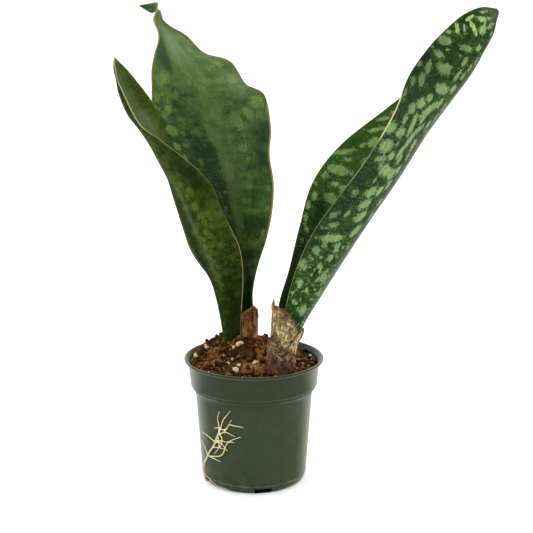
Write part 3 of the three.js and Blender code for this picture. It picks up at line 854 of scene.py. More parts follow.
# %% Patches of the right leaf
# Share along, share across, length in mm, width as a share across, strength, and for a slanted patch the
# degrees that its length turns from the leaf's own line towards the far margin
RIGHT_TIP = [
    (0.915, -0.8, 4, 0.15, 0.9), (0.9, -0.5, 3, 0.3, 0.8, -20), (0.875, -0.62, 4, 0.3, 1, -20),
    (0.885, -0.25, 3, 0.3, 0.8, -30), (0.86, -0.3, 5, 0.2, 0.9, -40), (0.835, -0.12, 6, 0.15, 0.8, -30),
    (0.845, -0.86, 6, 0.09, 1.1), (0.825, -0.74, 6, 0.08, 1, -40), (0.815, -0.64, 7, 0.09, 1.05, -40),
    (0.803, -0.54, 6, 0.08, 1, -40), (0.795, -0.78, 9, 0.05, 1, -40), (0.783, -0.88, 10, 0.08, 1.05, -38),
    (0.83, -0.44, 10, 0.2, 1, -25), (0.758, -0.94, 4, 0.1, 0.9), (0.73, -0.9, 8, 0.2, 1.1, -20),
]
RIGHT_OUTER = [
    (0.691, -0.85, 6, 0.2, 1), (0.713, -0.78, 4, 0.07, 0.8), (0.697, -0.97, 4, 0.06, 0.8),
    (0.668, -0.63, 9, 0.28, 1.05), (0.717, -0.54, 4, 0.1, 0.7), (0.743, -0.53, 6, 0.3, 1, -10),
    (0.762, -0.28, 6, 0.16, 1), (0.712, -0.4, 9, 0.1, 1), (0.73, -0.14, 8, 0.1, 0.8),
    (0.704, -0.2, 8, 0.1, 0.8), (0.67, -0.36, 12, 0.09, 1), (0.68, -0.24, 9, 0.1, 0.9),
    (0.641, -0.24, 10, 0.14, 0.9), (0.628, -0.47, 9, 0.28, 1.05), (0.621, -0.83, 13, 0.1, 1, -20),
    (0.652, -0.85, 12, 0.09, 1, -20), (0.647, -0.97, 7, 0.09, 0.8), (0.608, -0.93, 9, 0.1, 0.8, -20),
    (0.58, -0.97, 9, 0.08, 0.7), (0.579, -0.68, 10, 0.16, 1, 10), (0.597, -0.58, 8, 0.12, 1),
    (0.561, -0.78, 10, 0.13, 1), (0.54, -0.81, 12, 0.08, 0.95, -15), (0.517, -0.94, 13, 0.16, 0.95, 20),
    (0.518, -0.77, 11, 0.14, 1, 15), (0.538, -0.64, 20, 0.09, 1.05, -8), (0.575, -0.48, 22, 0.12, 1.1, 30),
    (0.598, -0.34, 12, 0.1, 1, 20), (0.555, -0.5, 12, 0.07, 0.9, 10), (0.539, -0.44, 13, 0.08, 1, 16),
    (0.516, -0.53, 21, 0.09, 1.1, 10), (0.495, -0.58, 15, 0.08, 1.05, 8), (0.538, -0.14, 13, 0.1, 0.9),
    (0.553, -0.3, 12, 0.07, 0.9, 8), (0.512, -0.38, 11, 0.12, 1), (0.494, -0.36, 10, 0.07, 1),
    (0.484, -0.52, 11, 0.07, 1), (0.47, -0.4, 9, 0.09, 1), (0.459, -0.5, 12, 0.15, 1),
    (0.49, -0.87, 14, 0.2, 1, 26), (0.502, -0.72, 6, 0.05, 0.9), (0.482, -0.7, 8, 0.12, 1),
    (0.471, -0.83, 13, 0.1, 0.95, 50), (0.458, -0.66, 11, 0.24, 1), (0.463, -0.78, 6, 0.12, 0.8),
    (0.443, -0.4, 11, 0.12, 0.9), (0.438, -0.72, 6, 0.06, 0.9), (0.57, -0.18, 14, 0.08, 0.8),
    (0.595, -0.16, 10, 0.1, 0.8), (0.419, -0.64, 13, 0.16, 1, 30), (0.427, -0.5, 10, 0.1, 1),
    (0.405, -0.86, 8, 0.12, 0.8), (0.397, -0.6, 13, 0.14, 1.05, 25), (0.412, -0.3, 9, 0.13, 0.9),
    (0.376, -0.52, 14, 0.15, 1.05, 20), (0.387, -0.26, 10, 0.11, 0.9), (0.37, -0.76, 9, 0.08, 0.95, 10),
    (0.352, -0.4, 14, 0.14, 1.05, 20), (0.357, -0.9, 14, 0.1, 0.85, 20), (0.34, -0.83, 9, 0.12, 0.9, 30),
    (0.32, -0.72, 19, 0.15, 1.1, 56), (0.288, -0.84, 8, 0.16, 0.9), (0.312, -0.55, 9, 0.13, 0.9),
    (0.289, -0.54, 8, 0.13, 0.9), (0.32, -0.3, 5, 0.1, 0.8), (0.266, -0.63, 7, 0.2, 0.8, 60),
    (0.253, -0.45, 9, 0.26, 1), (0.252, -0.93, 10, 0.2, 0.85), (0.22, -0.87, 8, 0.16, 0.9),
    (0.216, -0.67, 6, 0.12, 0.9), (0.225, -0.3, 9, 0.18, 0.8), (0.188, -0.87, 6, 0.15, 0.7),
    (0.182, -0.55, 10, 0.28, 0.9), (0.16, -0.3, 8, 0.3, 0.6),
]
RIGHT_INNER = [
    (0.523, 0.9, 10, 0.08, 1, -25), (0.505, 0.84, 17, 0.07, 1, -32), (0.487, 0.75, 9, 0.14, 1.1),
    (0.475, 0.82, 6, 0.08, 0.8), (0.455, 0.67, 9, 0.1, 0.8), (0.455, 0.91, 16, 0.08, 1, -32),
    (0.446, 0.83, 9, 0.08, 0.8, -32), (0.425, 0.82, 11, 0.15, 1.1, -60), (0.42, 0.9, 8, 0.1, 1),
    (0.405, 0.92, 8, 0.1, 0.8), (0.4, 0.79, 8, 0.1, 0.9, -40), (0.4, 0.66, 9, 0.14, 0.9),
    (0.376, 0.76, 10, 0.15, 1.1, -50), (0.366, 0.93, 8, 0.08, 0.9), (0.348, 0.96, 7, 0.07, 0.9),
    (0.325, 0.95, 10, 0.08, 0.9), (0.31, 0.9, 7, 0.1, 0.7), (0.29, 0.92, 8, 0.08, 0.7),
    (0.54, 0.87, 9, 0.08, 0.8, -32), (0.43, 0.7, 8, 0.1, 0.7), (0.385, 0.97, 6, 0.06, 0.7),
]
print(len(RIGHT_TIP + RIGHT_OUTER + RIGHT_INNER), "patches on the right leaf")

# %% Patches of the left leaves
BACK_INNER = [
    (0.575, -0.62, 12, 0.3, 1), (0.567, -0.8, 9, 0.2, 1), (0.587, -0.45, 7, 0.15, 0.8),
    (0.53, -0.4, 9, 0.16, 1), (0.535, -0.72, 6, 0.1, 0.9), (0.56, 0, 8, 0.17, 0.9),
    (0.552, 0.12, 8, 0.14, 0.9), (0.54, 0.2, 10, 0.17, 1.1), (0.56, 0.33, 7, 0.25, 1),
    (0.56, 0.6, 6, 0.3, 0.9), (0.563, 0.85, 8, 0.25, 1), (0.59, 0.55, 8, 0.2, 0.9),
    (0.6, 0.75, 7, 0.2, 0.9), (0.58, 0.3, 9, 0.12, 0.8), (0.515, -0.12, 8, 0.15, 0.9),
    (0.52, 0.1, 6, 0.12, 0.8), (0.5, -0.63, 9, 0.22, 1), (0.487, -0.75, 8, 0.15, 0.9),
    (0.45, -0.7, 10, 0.24, 1.2), (0.445, -0.5, 6, 0.16, 0.8), (0.445, -0.22, 9, 0.2, 1),
    (0.437, 0.02, 11, 0.26, 1.1), (0.418, -0.77, 8, 0.14, 1.2), (0.42, -0.58, 6, 0.15, 0.8),
    (0.46, 0.52, 9, 0.28, 1, 60), (0.473, 0.72, 8, 0.16, 0.9), (0.49, 0.88, 9, 0.18, 1.2),
    (0.47, 0.25, 8, 0.14, 0.8), (0.415, 0.53, 7, 0.2, 1), (0.412, 0.9, 9, 0.12, 1),
    (0.43, 0.3, 12, 0.15, 0.8), (0.402, 0.72, 6, 0.08, 0.8), (0.375, 0.16, 14, 0.17, 1.3),
    (0.39, -0.42, 7, 0.16, 0.9), (0.395, 0.6, 6, 0.15, 0.8), (0.375, 0.88, 8, 0.14, 1),
    (0.345, 0.5, 6, 0.14, 0.9), (0.34, 0.9, 7, 0.15, 0.9), (0.32, 0.42, 6, 0.25, 0.9),
    (0.305, 0.12, 12, 0.3, 0.8), (0.3, 0.5, 7, 0.6, 0.9), (0.305, 0.88, 8, 0.15, 0.8),
    (0.24, 0.5, 9, 0.6, 1.1), (0.26, 0.87, 9, 0.15, 0.9), (0.205, 0.5, 6, 0.5, 0.9),
    (0.19, 0.7, 6, 0.4, 0.8), (0.68, 0.8, 6, 0.3, 0.9), (0.66, 0.6, 8, 0.25, 0.9), (0.7, 0.55, 7, 0.3, 0.8),
]
FRONT_OUTER = [
    (0.41, -0.42, 6, 0.2, 1), (0.385, -0.45, 7, 0.22, 1.1), (0.385, -0.65, 6, 0.2, 0.9),
    (0.37, -0.68, 5, 0.2, 0.9), (0.365, -0.5, 6, 0.2, 1), (0.37, -0.87, 9, 0.16, 0.9),
    (0.34, -0.4, 6, 0.2, 1), (0.325, -0.45, 6, 0.2, 1), (0.32, -0.25, 5, 0.14, 1), (0.3, -0.22, 5, 0.14, 1),
    (0.285, -0.6, 7, 0.22, 1), (0.28, -0.3, 5, 0.14, 1), (0.265, -0.22, 6, 0.15, 1.1),
    (0.245, -0.28, 5, 0.16, 1), (0.23, -0.35, 6, 0.18, 1.1), (0.21, -0.3, 6, 0.2, 1),
    (0.21, -0.5, 5, 0.2, 0.8), (0.185, -0.3, 6, 0.25, 0.9), (0.44, -0.3, 7, 0.2, 0.9),
    (0.46, -0.45, 7, 0.25, 0.8), (0.49, -0.3, 8, 0.25, 0.8), (0.35, -0.62, 5, 0.16, 0.8),
    (0.15, -0.5, 6, 0.25, 0.7), (0.12, -0.4, 6, 0.3, 0.6), (0.52, -0.5, 7, 0.2, 0.7),
]
print(len(BACK_INNER + FRONT_OUTER), "patches on the left leaves")

# %% [markdown]
# Under the patches lie much broader changes: painted sheen in pale grey along a midrib and near the top, and
# painted shade in deep green where the blade turns from the light. Each is one soft spot with a place, a size
# and a strength.

# %% Washes
# Share along, share across, length in mm, width as a share across, and strength: above 0 painted sheen in
# pale grey, below 0 painted shade in deep green
RIGHT_OUTER_WASH = [
    (0.25, -0.08, 130, 0.36, 0.8), (0.45, -0.04, 100, 0.4, 0.9), (0.57, -0.02, 60, 0.12, 0.9),
    (0.68, -0.04, 60, 0.16, 0.5), (0.44, -0.84, 26, 0.22, -0.6), (0.37, -0.84, 30, 0.25, -0.5),
    (0.6, -0.85, 45, 0.2, -0.6), (0.68, -0.95, 40, 0.16, -0.6), (0.3, -0.93, 40, 0.2, -0.5),
    (0.65, -0.6, 14, 0.3, -0.6), (0.73, -0.6, 20, 0.25, -0.5), (0.93, -0.2, 14, 1.6, 0.3),
]
RIGHT_INNER_WASH = [
    (0.47, 0.93, 14, 0.12, -0.5), (0.36, 0.82, 22, 0.12, -0.8), (0.14, 0.9, 80, 0.6, -1),
    (0.24, 0.97, 50, 0.2, -0.8), (0.33, 0.8, 20, 0.12, -0.7), (0.4, 0.88, 8, 0.1, -0.3),
]
BACK_INNER_WASH = [
    (0.67, 0.1, 26, 0.5, 0.8), (0.62, -0.05, 20, 0.3, 0.3), (0.72, 0.3, 26, 1.2, 0.6),
    (0.665, -0.55, 26, 0.4, -0.7), (0.62, -0.35, 16, 0.3, -0.4), (0.585, -0.1, 16, 0.3, -0.2),
    (0.535, -0.15, 16, 0.6, -0.3), (0.49, -0.3, 20, 0.5, -0.3), (0.42, -0.35, 24, 0.5, -0.5),
    (0.39, 0.87, 24, 0.3, -1), (0.44, 0.88, 24, 0.26, -1), (0.275, 0.6, 17, 0.55, -1),
    (0.33, 0.6, 10, 0.4, -0.5), (0.222, 0.5, 12, 1, -0.9), (0.13, 0.5, 34, 1.6, -1),
    (0.56, 0.85, 8, 0.4, 0.5), (0.52, 0.7, 14, 0.3, 0.3), (0.38, 0.15, 50, 0.28, 0.45),
    (0.36, 0.3, 60, 0.5, 0.2), (0.98, 0, 26, 4, -0.8),
    (0.68, -0.8, 26, 0.4, -1), (0.64, -0.58, 22, 0.3, -1), (0.605, -0.35, 18, 0.25, -0.7),
]
FRONT_OUTER_WASH = [
    (0.31, -0.12, 70, 0.22, 0.35), (0.43, -0.1, 40, 0.12, 0.3), (0.23, -0.17, 30, 0.2, 0.3),
    (0.3, 0.25, 180, 0.36, -0.6), (0.55, -0.08, 50, 0.3, 0.3), (0.52, -0.7, 30, 0.5, -0.8),
    (0.1, -0.7, 70, 0.8, -0.8), (0.44, -0.75, 26, 0.4, -0.5), (0.3, -0.85, 60, 0.25, -0.3),
    (0.35, 0.15, 160, 0.3, -1), (0.82, -0.8, 130, 0.7, -1), (0.2, -0.5, 60, 0.6, -0.4),
]
FRONT_INNER_WASH = [
    (0.72, 0.4, 60, 0.7, 0.4), (0.66, 0.6, 24, 0.3, 0.3), (0.8, 0.8, 40, 0.3, -0.5),
    (0.62, 0.1, 50, 0.5, 0.25), (0.9, 0, 70, 2, 0.5),
]
print("washes ready")


# %% Fields of patches
def patch_field(patches, length_at, half, t, v, along):
    """The strongest patch at each point: above 0.5 inside a patch, and 0 far from any."""
    field = np.zeros(len(t))
    for share, across, long, wide, strength, *slant in patches:
        turn = math.radians(slant[0]) if slant else 0.0
        forward = along - length_at(share)
        sideways = (v - across) * half
        ahead = (forward * math.cos(turn) + sideways * math.sin(turn)) / (long / 2)
        beside = (sideways * math.cos(turn) - forward * math.sin(turn)) / (wide * half / 2)
        distance = np.sqrt(ahead**2 + beside**2)
        field = np.maximum(field, strength * np.clip(1.0 - 0.6 * distance, 0, 1))
    return field


def wash_field(washes, length_at, t, v, along):
    """Soft washes added up, each fading from its middle."""
    field = np.zeros(len(t))
    for share, across, long, wide, strength in washes:
        ahead = (along - length_at(share)) / (long / 2)
        beside = (v - across) / (wide / 2)
        field += strength * np.exp(-(ahead**2) - beside**2)
    return np.clip(field, -1, 1)


def random_patches(seed, count, low, high, long, wide, strength):
    """Seeded patches between two shares across the blade."""
    rng = random.Random(seed)
    return [
        (
            rng.uniform(0.08, 0.95),
            rng.uniform(low, high),
            long * rng.uniform(0.5, 1.4),
            wide * rng.uniform(0.5, 1.5),
            strength * rng.uniform(0.8, 1.1),
        )
        for _ in range(count)
    ]


print("field helpers ready")

# %% [markdown]
# ## Leaf finish
# One recipe serves the three blades, with its own colours for each. A dark and a light green wander over the
# blade, the mottle lays pale patches on them, the washes add painted sheen in grey and painted shade in deep
# green, and a thin yellow-brown line follows the margin. The wax gives a soft gloss, and fine fibres break it
# up.


# %% Leaf finish
def leaf_finish(name, colours, edge, ragged, specular=0.1, matt=0.36, widest=0.3):
    """A mottled blade: the colours of its ground, patches, washes and margin are given by name.

    The line on the margin grows by up to the widest, in mm, where it is palest.
    """
    colours = {part: paint(*levels) for part, levels in colours.items()}
    material, tree, shader = new_finish(name, 0.45, specular)
    blade = add_node(tree, "ShaderNodeUVMap", uv_map="blade_map").outputs["UV"]
    feeds = {"X": attribute(tree, "lane"), "Y": split(tree, blade)["Y"]}
    lanes = add_node(tree, "ShaderNodeCombineXYZ", feeds).outputs[0]
    streaks = use_group(tree, fibres, {"Vector": lanes})
    feeds = {"Vector": blade, "Patch": attribute(tree, "patch"), "Ragged": ragged, "Edge": edge}
    spots = use_group(tree, mottle, feeds)
    wander = cloud(tree, blade, 150, 5.0, 0.72, (1.3, 1, 1))
    lit = scaled(tree, attribute(tree, "tone"), 0.3, wander)
    green = blend(tree, ramp(tree, lit, 0.42, 0.76), colours["ground"], colours["light"])
    pale = blend(tree, attribute(tree, "warm"), colours["cool"], colours["warm"])
    fleck = cloud(tree, blade, 560, 3.0, 0.7, (1.3, 1, 1))
    green = lay(tree, green, ramp(tree, fleck, 0.55, 0.67), 0.36, pale)
    broken = scaled(tree, ramp(tree, fleck, 0.36, 0.54), 0.28, 0.56)
    broken = scaled(tree, ramp(tree, streaks["Streak"], 0.35, 0.6), 0.26, broken)
    green = lay(tree, green, spots["Mask"], times(tree, broken, attribute(tree, "show")), pale)
    # Painted sheen where this value is above 0, and painted shade where it is below 0
    wash = attribute(tree, "wash")
    veil = scaled(tree, ramp(tree, streaks["Broad"], 0.3, 0.7), 0.4, 0.35)
    green = lay(tree, green, maths(tree, "MAXIMUM", wash), veil, colours["sheen_grey"])
    green = lay(tree, green, maths(tree, "MAXIMUM", times(tree, wash, -1.0)), 0.8, colours["deep"])
    grain = cloud(tree, blade, 1100, 2.0, 0.8)
    shade = scaled(tree, streaks["Streak"], 0.4, 0.1)
    shade = scaled(tree, streaks["Broad"], 0.5, shade)
    shade = scaled(tree, grain, 0.9, shade)
    grey = add_node(tree, "ShaderNodeCombineColor", {0: shade, 1: shade, 2: shade}).outputs[0]
    green = blend(tree, 1.0, green, grey, "MULTIPLY")
    uneven = cloud(tree, blade, 260, 3.0, 0.6)
    reach = scaled(tree, uneven, 0.34, 0.02)
    reach = scaled(tree, ramp(tree, attribute(tree, "rim"), 0.35, 0.9), widest, reach)
    line = ramp(tree, maths(tree, "DIVIDE", attribute(tree, "margin"), reach), 1.5, 0.6)
    dry = blend(tree, attribute(tree, "rim"), paint(78, 80, 42), colours["margin"])
    green = lay(tree, green, line, 0.9, dry)
    green = blend(tree, attribute(tree, "scar"), green, paint(96, 62, 30))
    tree.links.new(green, shader["Base Color"])
    rough = scaled(tree, streaks["Broad"], 0.2, matt)
    tree.links.new(rough, shader["Roughness"])
    raised = scaled(tree, spots["Mask"], 0.25, streaks["Streak"])
    tree.links.new(relief(tree, raised, 0.08 * MM, 0.6), shader["Normal"])
    return material


back_green = leaf_finish(
    "back_green",
    {
        "ground": (44, 70, 36), "light": (88, 114, 56), "cool": (108, 138, 78),
        "warm": (112, 146, 66), "sheen_grey": (138, 152, 118), "deep": (32, 58, 34),
        "margin": (188, 156, 100),
    },
    edge=0.16,
    ragged=0.6,
    widest=0.8,
)
front_green = leaf_finish(
    "front_green",
    {
        "ground": (34, 54, 8), "light": (72, 96, 32), "cool": (92, 118, 54),
        "warm": (96, 120, 46), "sheen_grey": (132, 146, 112), "deep": (22, 36, 8),
        "margin": (206, 198, 144),
    },
    edge=0.2,
    ragged=0.7,
    specular=0.04,
    matt=0.6,
)
right_green = leaf_finish(
    "right_green",
    {
        "ground": (20, 48, 8), "light": (56, 90, 30), "cool": (138, 166, 108),
        "warm": (176, 208, 124), "sheen_grey": (148, 168, 138), "deep": (16, 38, 8),
        "margin": (236, 228, 170),
    },
    edge=0.14,
    ragged=0.55,
)
print("three leaf finishes")

# %% [markdown]
# ## The blades themselves
# The step below joins it all: slab, curves, thickness, map and fields. The last three columns of the slab
# follow a quarter circle, so the margin is round.

# %% Make a blade
RIM_COLUMNS = 3
EDGE_THICK = 0.8
EDGE_LEAST = 0.12  # share of the thickness on the very edge
LEAST_HALF = 0.6  # half width of the blade at its narrowest, for the map
TIP_TAPER = 0.02  # share of the length over which the tip thins out
TIP_LEAST = 0.3  # share of the thickness at the tip
LANE_WIDTH = 30  # mm from the midrib to the margin, for the fibres
SPINE_STEPS = 400


def fade(value, low, high):
    """0 below low and 1 above high."""
    share = np.clip((value - low) / (high - low), 0, 1)
    return share * share * (3 - 2 * share)


def between(value, low, high, soft):
    """1 between low and high, and 0 outside, with soft ends."""
    return fade(value, low - soft, low) * (1 - fade(value, high, high + soft))


def rounded_columns(x, across, half):
    """The place across of each column, and its share of the full thickness, with a round margin."""
    column = np.rint(np.abs(x) * across / 2)
    flat = across / 2 - RIM_COLUMNS
    arc = np.minimum(EDGE_THICK / 2 / half, 0.3)
    turn = (column - flat) / RIM_COLUMNS * math.pi / 2
    on_arc = column > flat
    v = np.where(on_arc, 1 - arc * (1 - np.sin(turn)), column / flat * (1 - arc))
    share = np.where(on_arc, np.maximum(np.cos(turn), EDGE_LEAST), 1.0)
    return np.sign(x) * v, share


def scar_field(scars, length_at, half, v, along, face):
    """1 on a scar and 0 off it, on the one face that has it."""
    field = np.zeros(len(v))
    for share, across, size, side in scars:
        off = np.hypot(along - length_at(share), (v - across) * half)
        field = np.maximum(field, (1 - fade(off, 0.4 * size, 0.7 * size)) * (face == side))
    return field


def make_blade(name, node, leaf, finish, patches, washes, looks, across=84, along=250, scars=()):
    """A leaf marked on both faces; patches and washes give the upper face first.

    The upper face is the one that the blade's normal points to. The looks are numbers, or functions of
    place and face: how warm a patch is, the tone of the ground, how pale the margin is and how much
    patches show.
    """
    mesh, x, y, face = slab(name, across, along)
    t = (y + 1) / 2
    near, rib, far = three_lines(leaf, t)
    half = np.where(x < 0, np.linalg.norm(near - rib, axis=1), np.linalg.norm(far - rib, axis=1))
    half = np.maximum(half, LEAST_HALF)
    v, share = rounded_columns(x, across, half)
    point, normal = surface_frame(lambda t, v: blade_point(leaf, t, v), t, v)
    thick = EDGE_THICK + (along_rib(leaf, t, 2) - EDGE_THICK) * (1 - v * v)
    taper = np.clip((1 - t) / TIP_TAPER, TIP_LEAST, 1)
    bend(mesh, point, normal, thick * share * taper, face)
    steps = np.linspace(0, 1, SPINE_STEPS)
    spine = three_lines(leaf, steps)[1]
    lengths = np.concatenate([[0], np.cumsum(np.linalg.norm(np.diff(spine, axis=0), axis=1))])
    along_mm = np.interp(t, steps, lengths)

    def length_at(place):
        return np.interp(place, steps, lengths)

    marks = [patch_field(side, length_at, half, t, v, along_mm) for side in patches]
    tints = [wash_field(side, length_at, t, v, along_mm) for side in washes]
    store(
        mesh,
        scar=scar_field(scars, length_at, half, v, along_mm, face),
        lane=v * LANE_WIDTH * MM,
        patch=np.where(face > 0, *marks),
        wash=np.where(face > 0, *tints),
        margin=(1 - np.abs(v)) * half,
        **{key: look(t, v, face) if callable(look) else look for key, look in looks.items()},
    )
    store_map(mesh, v * half * MM, along_mm * MM)
    to_piece(name, mesh, finish, "leaf", [node])


# %% [markdown]
# The right blade is a deep channel that shows its strongly mottled outer face. Small functions of the place
# on the blade say how warm, light and clear its colours are there, which a few lines do better than more
# noise would. Near the foot, hundreds of small crumbs of colour lie between the patches.

# %% Right blade
SCAR_PLACE = (0.409, 0.66, 2.4, -1)  # share along, share across, size in mm and face of a brown scar


def right_warm(t, v, face):
    """Yellow-green patches near the tip, and half as warm on the inner face."""
    return np.where(face > 0, between(t, 0.77, 0.87, 0.03) * fade(-v, 0.3, 0.6), 0.45)


def right_tone(t, v, face):
    """The ground is a little lighter low down, and over most of the inner face."""
    outer = 0.1 + 0.1 * between(t, 0.15, 0.3, 0.05) + 0.3 * fade(v, -0.5, -0.1) * between(t, 0.1, 0.6, 0.05)
    return np.where(face > 0, outer, 0.9 * fade(t, 0.3, 0.42) + 0.5 * fade(t, 0.42, 0.5))


def right_rim(t, v, face):
    """Pale on the near margin half way up, and golden on the far one."""
    near = 0.22 * (1 - fade(t, 0.56, 0.6)) + 0.15 * between(t, 0.42, 0.6, 0.03)
    near += 0.6 * between(t, 0.505, 0.565, 0.02)
    return np.where(v < 0, near, 0.45 * between(t, 0.25, 0.52, 0.05))


def right_show(t, v, face):
    """Patches are bold outside and fainter inside."""
    return np.where(face > 0, 1.0, 0.78)


CRUMBS_END = 0.34  # share of the length up to which small crumbs of colour lie between the patches
right_crumbs = random_patches(21, 300, -0.95, -0.3, 3.5, 0.07, 0.8)
right_crumbs = [place for place in right_crumbs if place[0] < CRUMBS_END]
make_blade(
    "blade_right",
    "leaf_right",
    RIGHT_LEAF,
    right_green,
    (
        RIGHT_TIP + RIGHT_OUTER + right_crumbs + random_patches(3, 150, 0.02, 1, 8, 0.16, 1),
        RIGHT_INNER + random_patches(5, 130, -1, 0.62, 8, 0.16, 1),
    ),
    (RIGHT_OUTER_WASH, RIGHT_INNER_WASH),
    {"warm": right_warm, "tone": right_tone, "rim": right_rim, "show": right_show},
    along=270,
    scars=[SCAR_PLACE],
)


# %% [markdown]
# The broad blade at the back faces the viewer. It is paler at the top, where it leans back into the light,
# and its patches are faint in the middle and clear near the margins.


# %% Blade at the back left
def back_tone(t, v, face):
    """Painted light at the top and by the right margin, and painted shade left of the midrib low down."""
    low = 1 - fade(t, 0.36, 0.54)
    tone = 0.35 + 0.5 * fade(t, 0.5, 0.62) - 0.5 * low * (1 - fade(v, -0.15, 0.2))
    return tone + 0.3 * between(v, 0.05, 0.3, 0.12)


def back_warm(t, v, face):
    """Patches turn yellower towards both margins."""
    return 0.8 * fade(-v, -0.2, 0.9) + 0.2 * fade(v, 0.6, 0.9)


def back_rim(t, v, face):
    """Golden on the left margin, palest at the neck, and pale half way up the right one."""
    left = 0.15 + 0.55 * between(t, 0.5, 0.78, 0.04) + 0.75 * between(t, 0.8, 0.93, 0.02)
    return np.where(v < 0, left, 0.8 * between(t, 0.26, 0.48, 0.02))


def back_show(t, v, face):
    """Patches show most near the margins."""
    return 0.55 + 0.35 * fade(np.abs(v), 0.3, 0.7)


make_blade(
    "blade_back",
    "leaf_back",
    BACK_LEAF,
    back_green,
    (BACK_INNER + random_patches(7, 90, -1, 1, 7, 0.16, 0.85), random_patches(9, 150, -1, 1, 8, 0.22, 1)),
    (BACK_INNER_WASH, [(0.98, 0, 26, 4, -0.8)]),
    {"warm": back_warm, "tone": back_tone, "rim": back_rim, "show": back_show},
    across=92,
)


# %% [markdown]
# The blade at the front is folded along its midrib. Below it turns its dark outer face to the viewer, and
# above its smoother inner face, so the two faces have patches and washes of their own.


# %% Blade at the front left
def front_tone(t, v, face):
    """Dark on the outer face but for its near margin, and lighter on the inner face."""
    near = 0.3 * between(-v, 0.75, 0.95, 0.1) * between(t, 0.33, 0.42, 0.04)
    return np.where(face > 0, 0.55, 0.25 + near - 0.2 * (1 - fade(t, 0.15, 0.3)))


def front_rim(t, v, face):
    """Pale on the near margin at the foot and again near the top."""
    return np.where(v < 0, 0.3 + 0.4 * np.maximum(1 - fade(t, 0.3, 0.38), fade(t, 0.64, 0.7)), 0.1)


make_blade(
    "blade_front",
    "leaf_front",
    FRONT_LEAF,
    front_green,
    (random_patches(15, 34, -1, 1, 7, 0.2, 0.7), FRONT_OUTER + random_patches(13, 120, -1, 1, 5, 0.14, 0.8)),
    (FRONT_INNER_WASH, FRONT_OUTER_WASH),
    {"warm": 0.6, "tone": front_tone, "rim": front_rim, "show": 0.6},
    across=72,
)

# %% [markdown]
# ## Dry leaf bases
# Short outer leaves dry to papery sheaths that wrap the shoot. A tube cut at the top would have an even
# rim, so each is a slab bent round the shoot's axis instead, with a torn top edge that follows a list of
# heights, lengthwise wrinkles, and a rim that curls out.

# %% Sheath shapes
LEFT_AXIS = [(94, -9.3, 21, 11.3), (104, -9, 21, 11.5), (118, -8.8, 20.8, 11.4), (130, -9, 20.5, 10.8)]
RIGHT_AXIS = [
    (83, 20, -18.8, 8), (92, 20.2, -18.6, 8), (104, 21.2, -18.3, 8.4), (112, 22.2, -18, 9.6),
    (125, 25.2, -18, 12), (140, 28, -18, 13.8), (150, 29.2, -18, 14),
]
# Angle in degrees from +X, and height of the torn edge there
SHEATHS = {
    "sheath_left": {
        "axis": LEFT_AXIS, "outward": 0, "foot": 94, "slot": "sheath",
        "edge": [
            (-92, 126), (-80, 129), (-60, 131), (-48, 133), (-36, 132), (-10, 128), (8, 121), (40, 115),
            (70, 111),
        ],
    },
    "sheath_right_tall": {
        "axis": RIGHT_AXIS, "outward": 0, "foot": 83, "slot": "sheath",
        "edge": [
            (-265, 118), (-215, 129), (-172, 144), (-158, 147), (-150, 143), (-135, 143), (-116, 142),
            (-95, 137.5), (-78, 133), (-65, 128), (-52, 124), (-40, 113),
        ],
    },
    "sheath_right_side": {
        "axis": RIGHT_AXIS, "outward": 1.2, "foot": 83, "slot": "sheath",
        "edge": [
            (-78, 108), (-66, 115), (-52, 122), (-40, 126), (-28, 125), (-12, 120), (10, 114), (75, 104),
        ],
    },
    "sheath_right_low": {
        "axis": RIGHT_AXIS, "outward": 2.5, "foot": 83, "slot": "scale",
        "edge": [
            (-225, 98), (-190, 105), (-170, 110), (-150, 116), (-135, 120), (-122, 119), (-110, 112),
            (-98, 109), (-80, 110), (-60, 109), (-35, 105), (-5, 97),
        ],
    },
}
print(len(SHEATHS), "sheaths")


# %% [markdown]
# Dry sheaths go from cream through tan to brown in blotches that run along them. Noise stretched upwards
# gives the blotches and the fine streaks, the age group adds stains and specks, and two fields on the mesh
# darken the top and the torn rim. The low scale is younger and still purple.

# %% Sheath finish
def sheath_finish(name, tones, blotch, amount, crown):
    """Dry sheath: two ground tones, brown blotches and stains, dark streaks and a torn rim.

    The tones are given by name, blotch is the strength of brown blotches, and crown that of the top's tone.
    """
    tones = {part: paint(*levels) for part, levels in tones.items()}
    material, tree, shader = new_finish(name, 0.8, 0.15)
    place = object_place(tree)
    worn = use_group(tree, age, {"Vector": place, "Size": 230.0, "Amount": amount})
    streak = cloud(tree, place, 1000, 3.0, 0.65, (1, 1, 5))
    patches = cloud(tree, place, 230, 3.0, 0.6, (1, 1, 1.8))
    spots = cloud(tree, place, 480, 4.0, 0.76, (1.3, 1, 1.2))
    colour = blend(tree, ramp(tree, patches, 0.42, 0.58), tones["pale"], tones["tan"])
    colour = lay(tree, colour, ramp(tree, spots, 0.47, 0.55), blotch, tones["brown"])
    colour = lay(tree, colour, worn["Stain"], 0.8, tones["brown"])
    colour = lay(tree, colour, worn["Speck"], 0.6, tones["dark"])
    high = times(tree, ramp(tree, attribute(tree, "height"), 0.45, 0.85), ramp(tree, spots, 0.55, 0.45))
    colour = lay(tree, colour, high, crown, tones["top"])
    colour = lay(tree, colour, ramp(tree, streak, 0.54, 0.68), 0.5, tones["streak"])
    colour = lay(tree, colour, attribute(tree, "torn"), 0.7, tones["rim"])
    tree.links.new(colour, shader["Base Color"])
    tree.links.new(relief(tree, streak, 0.5 * MM, 0.9), shader["Normal"])
    return material


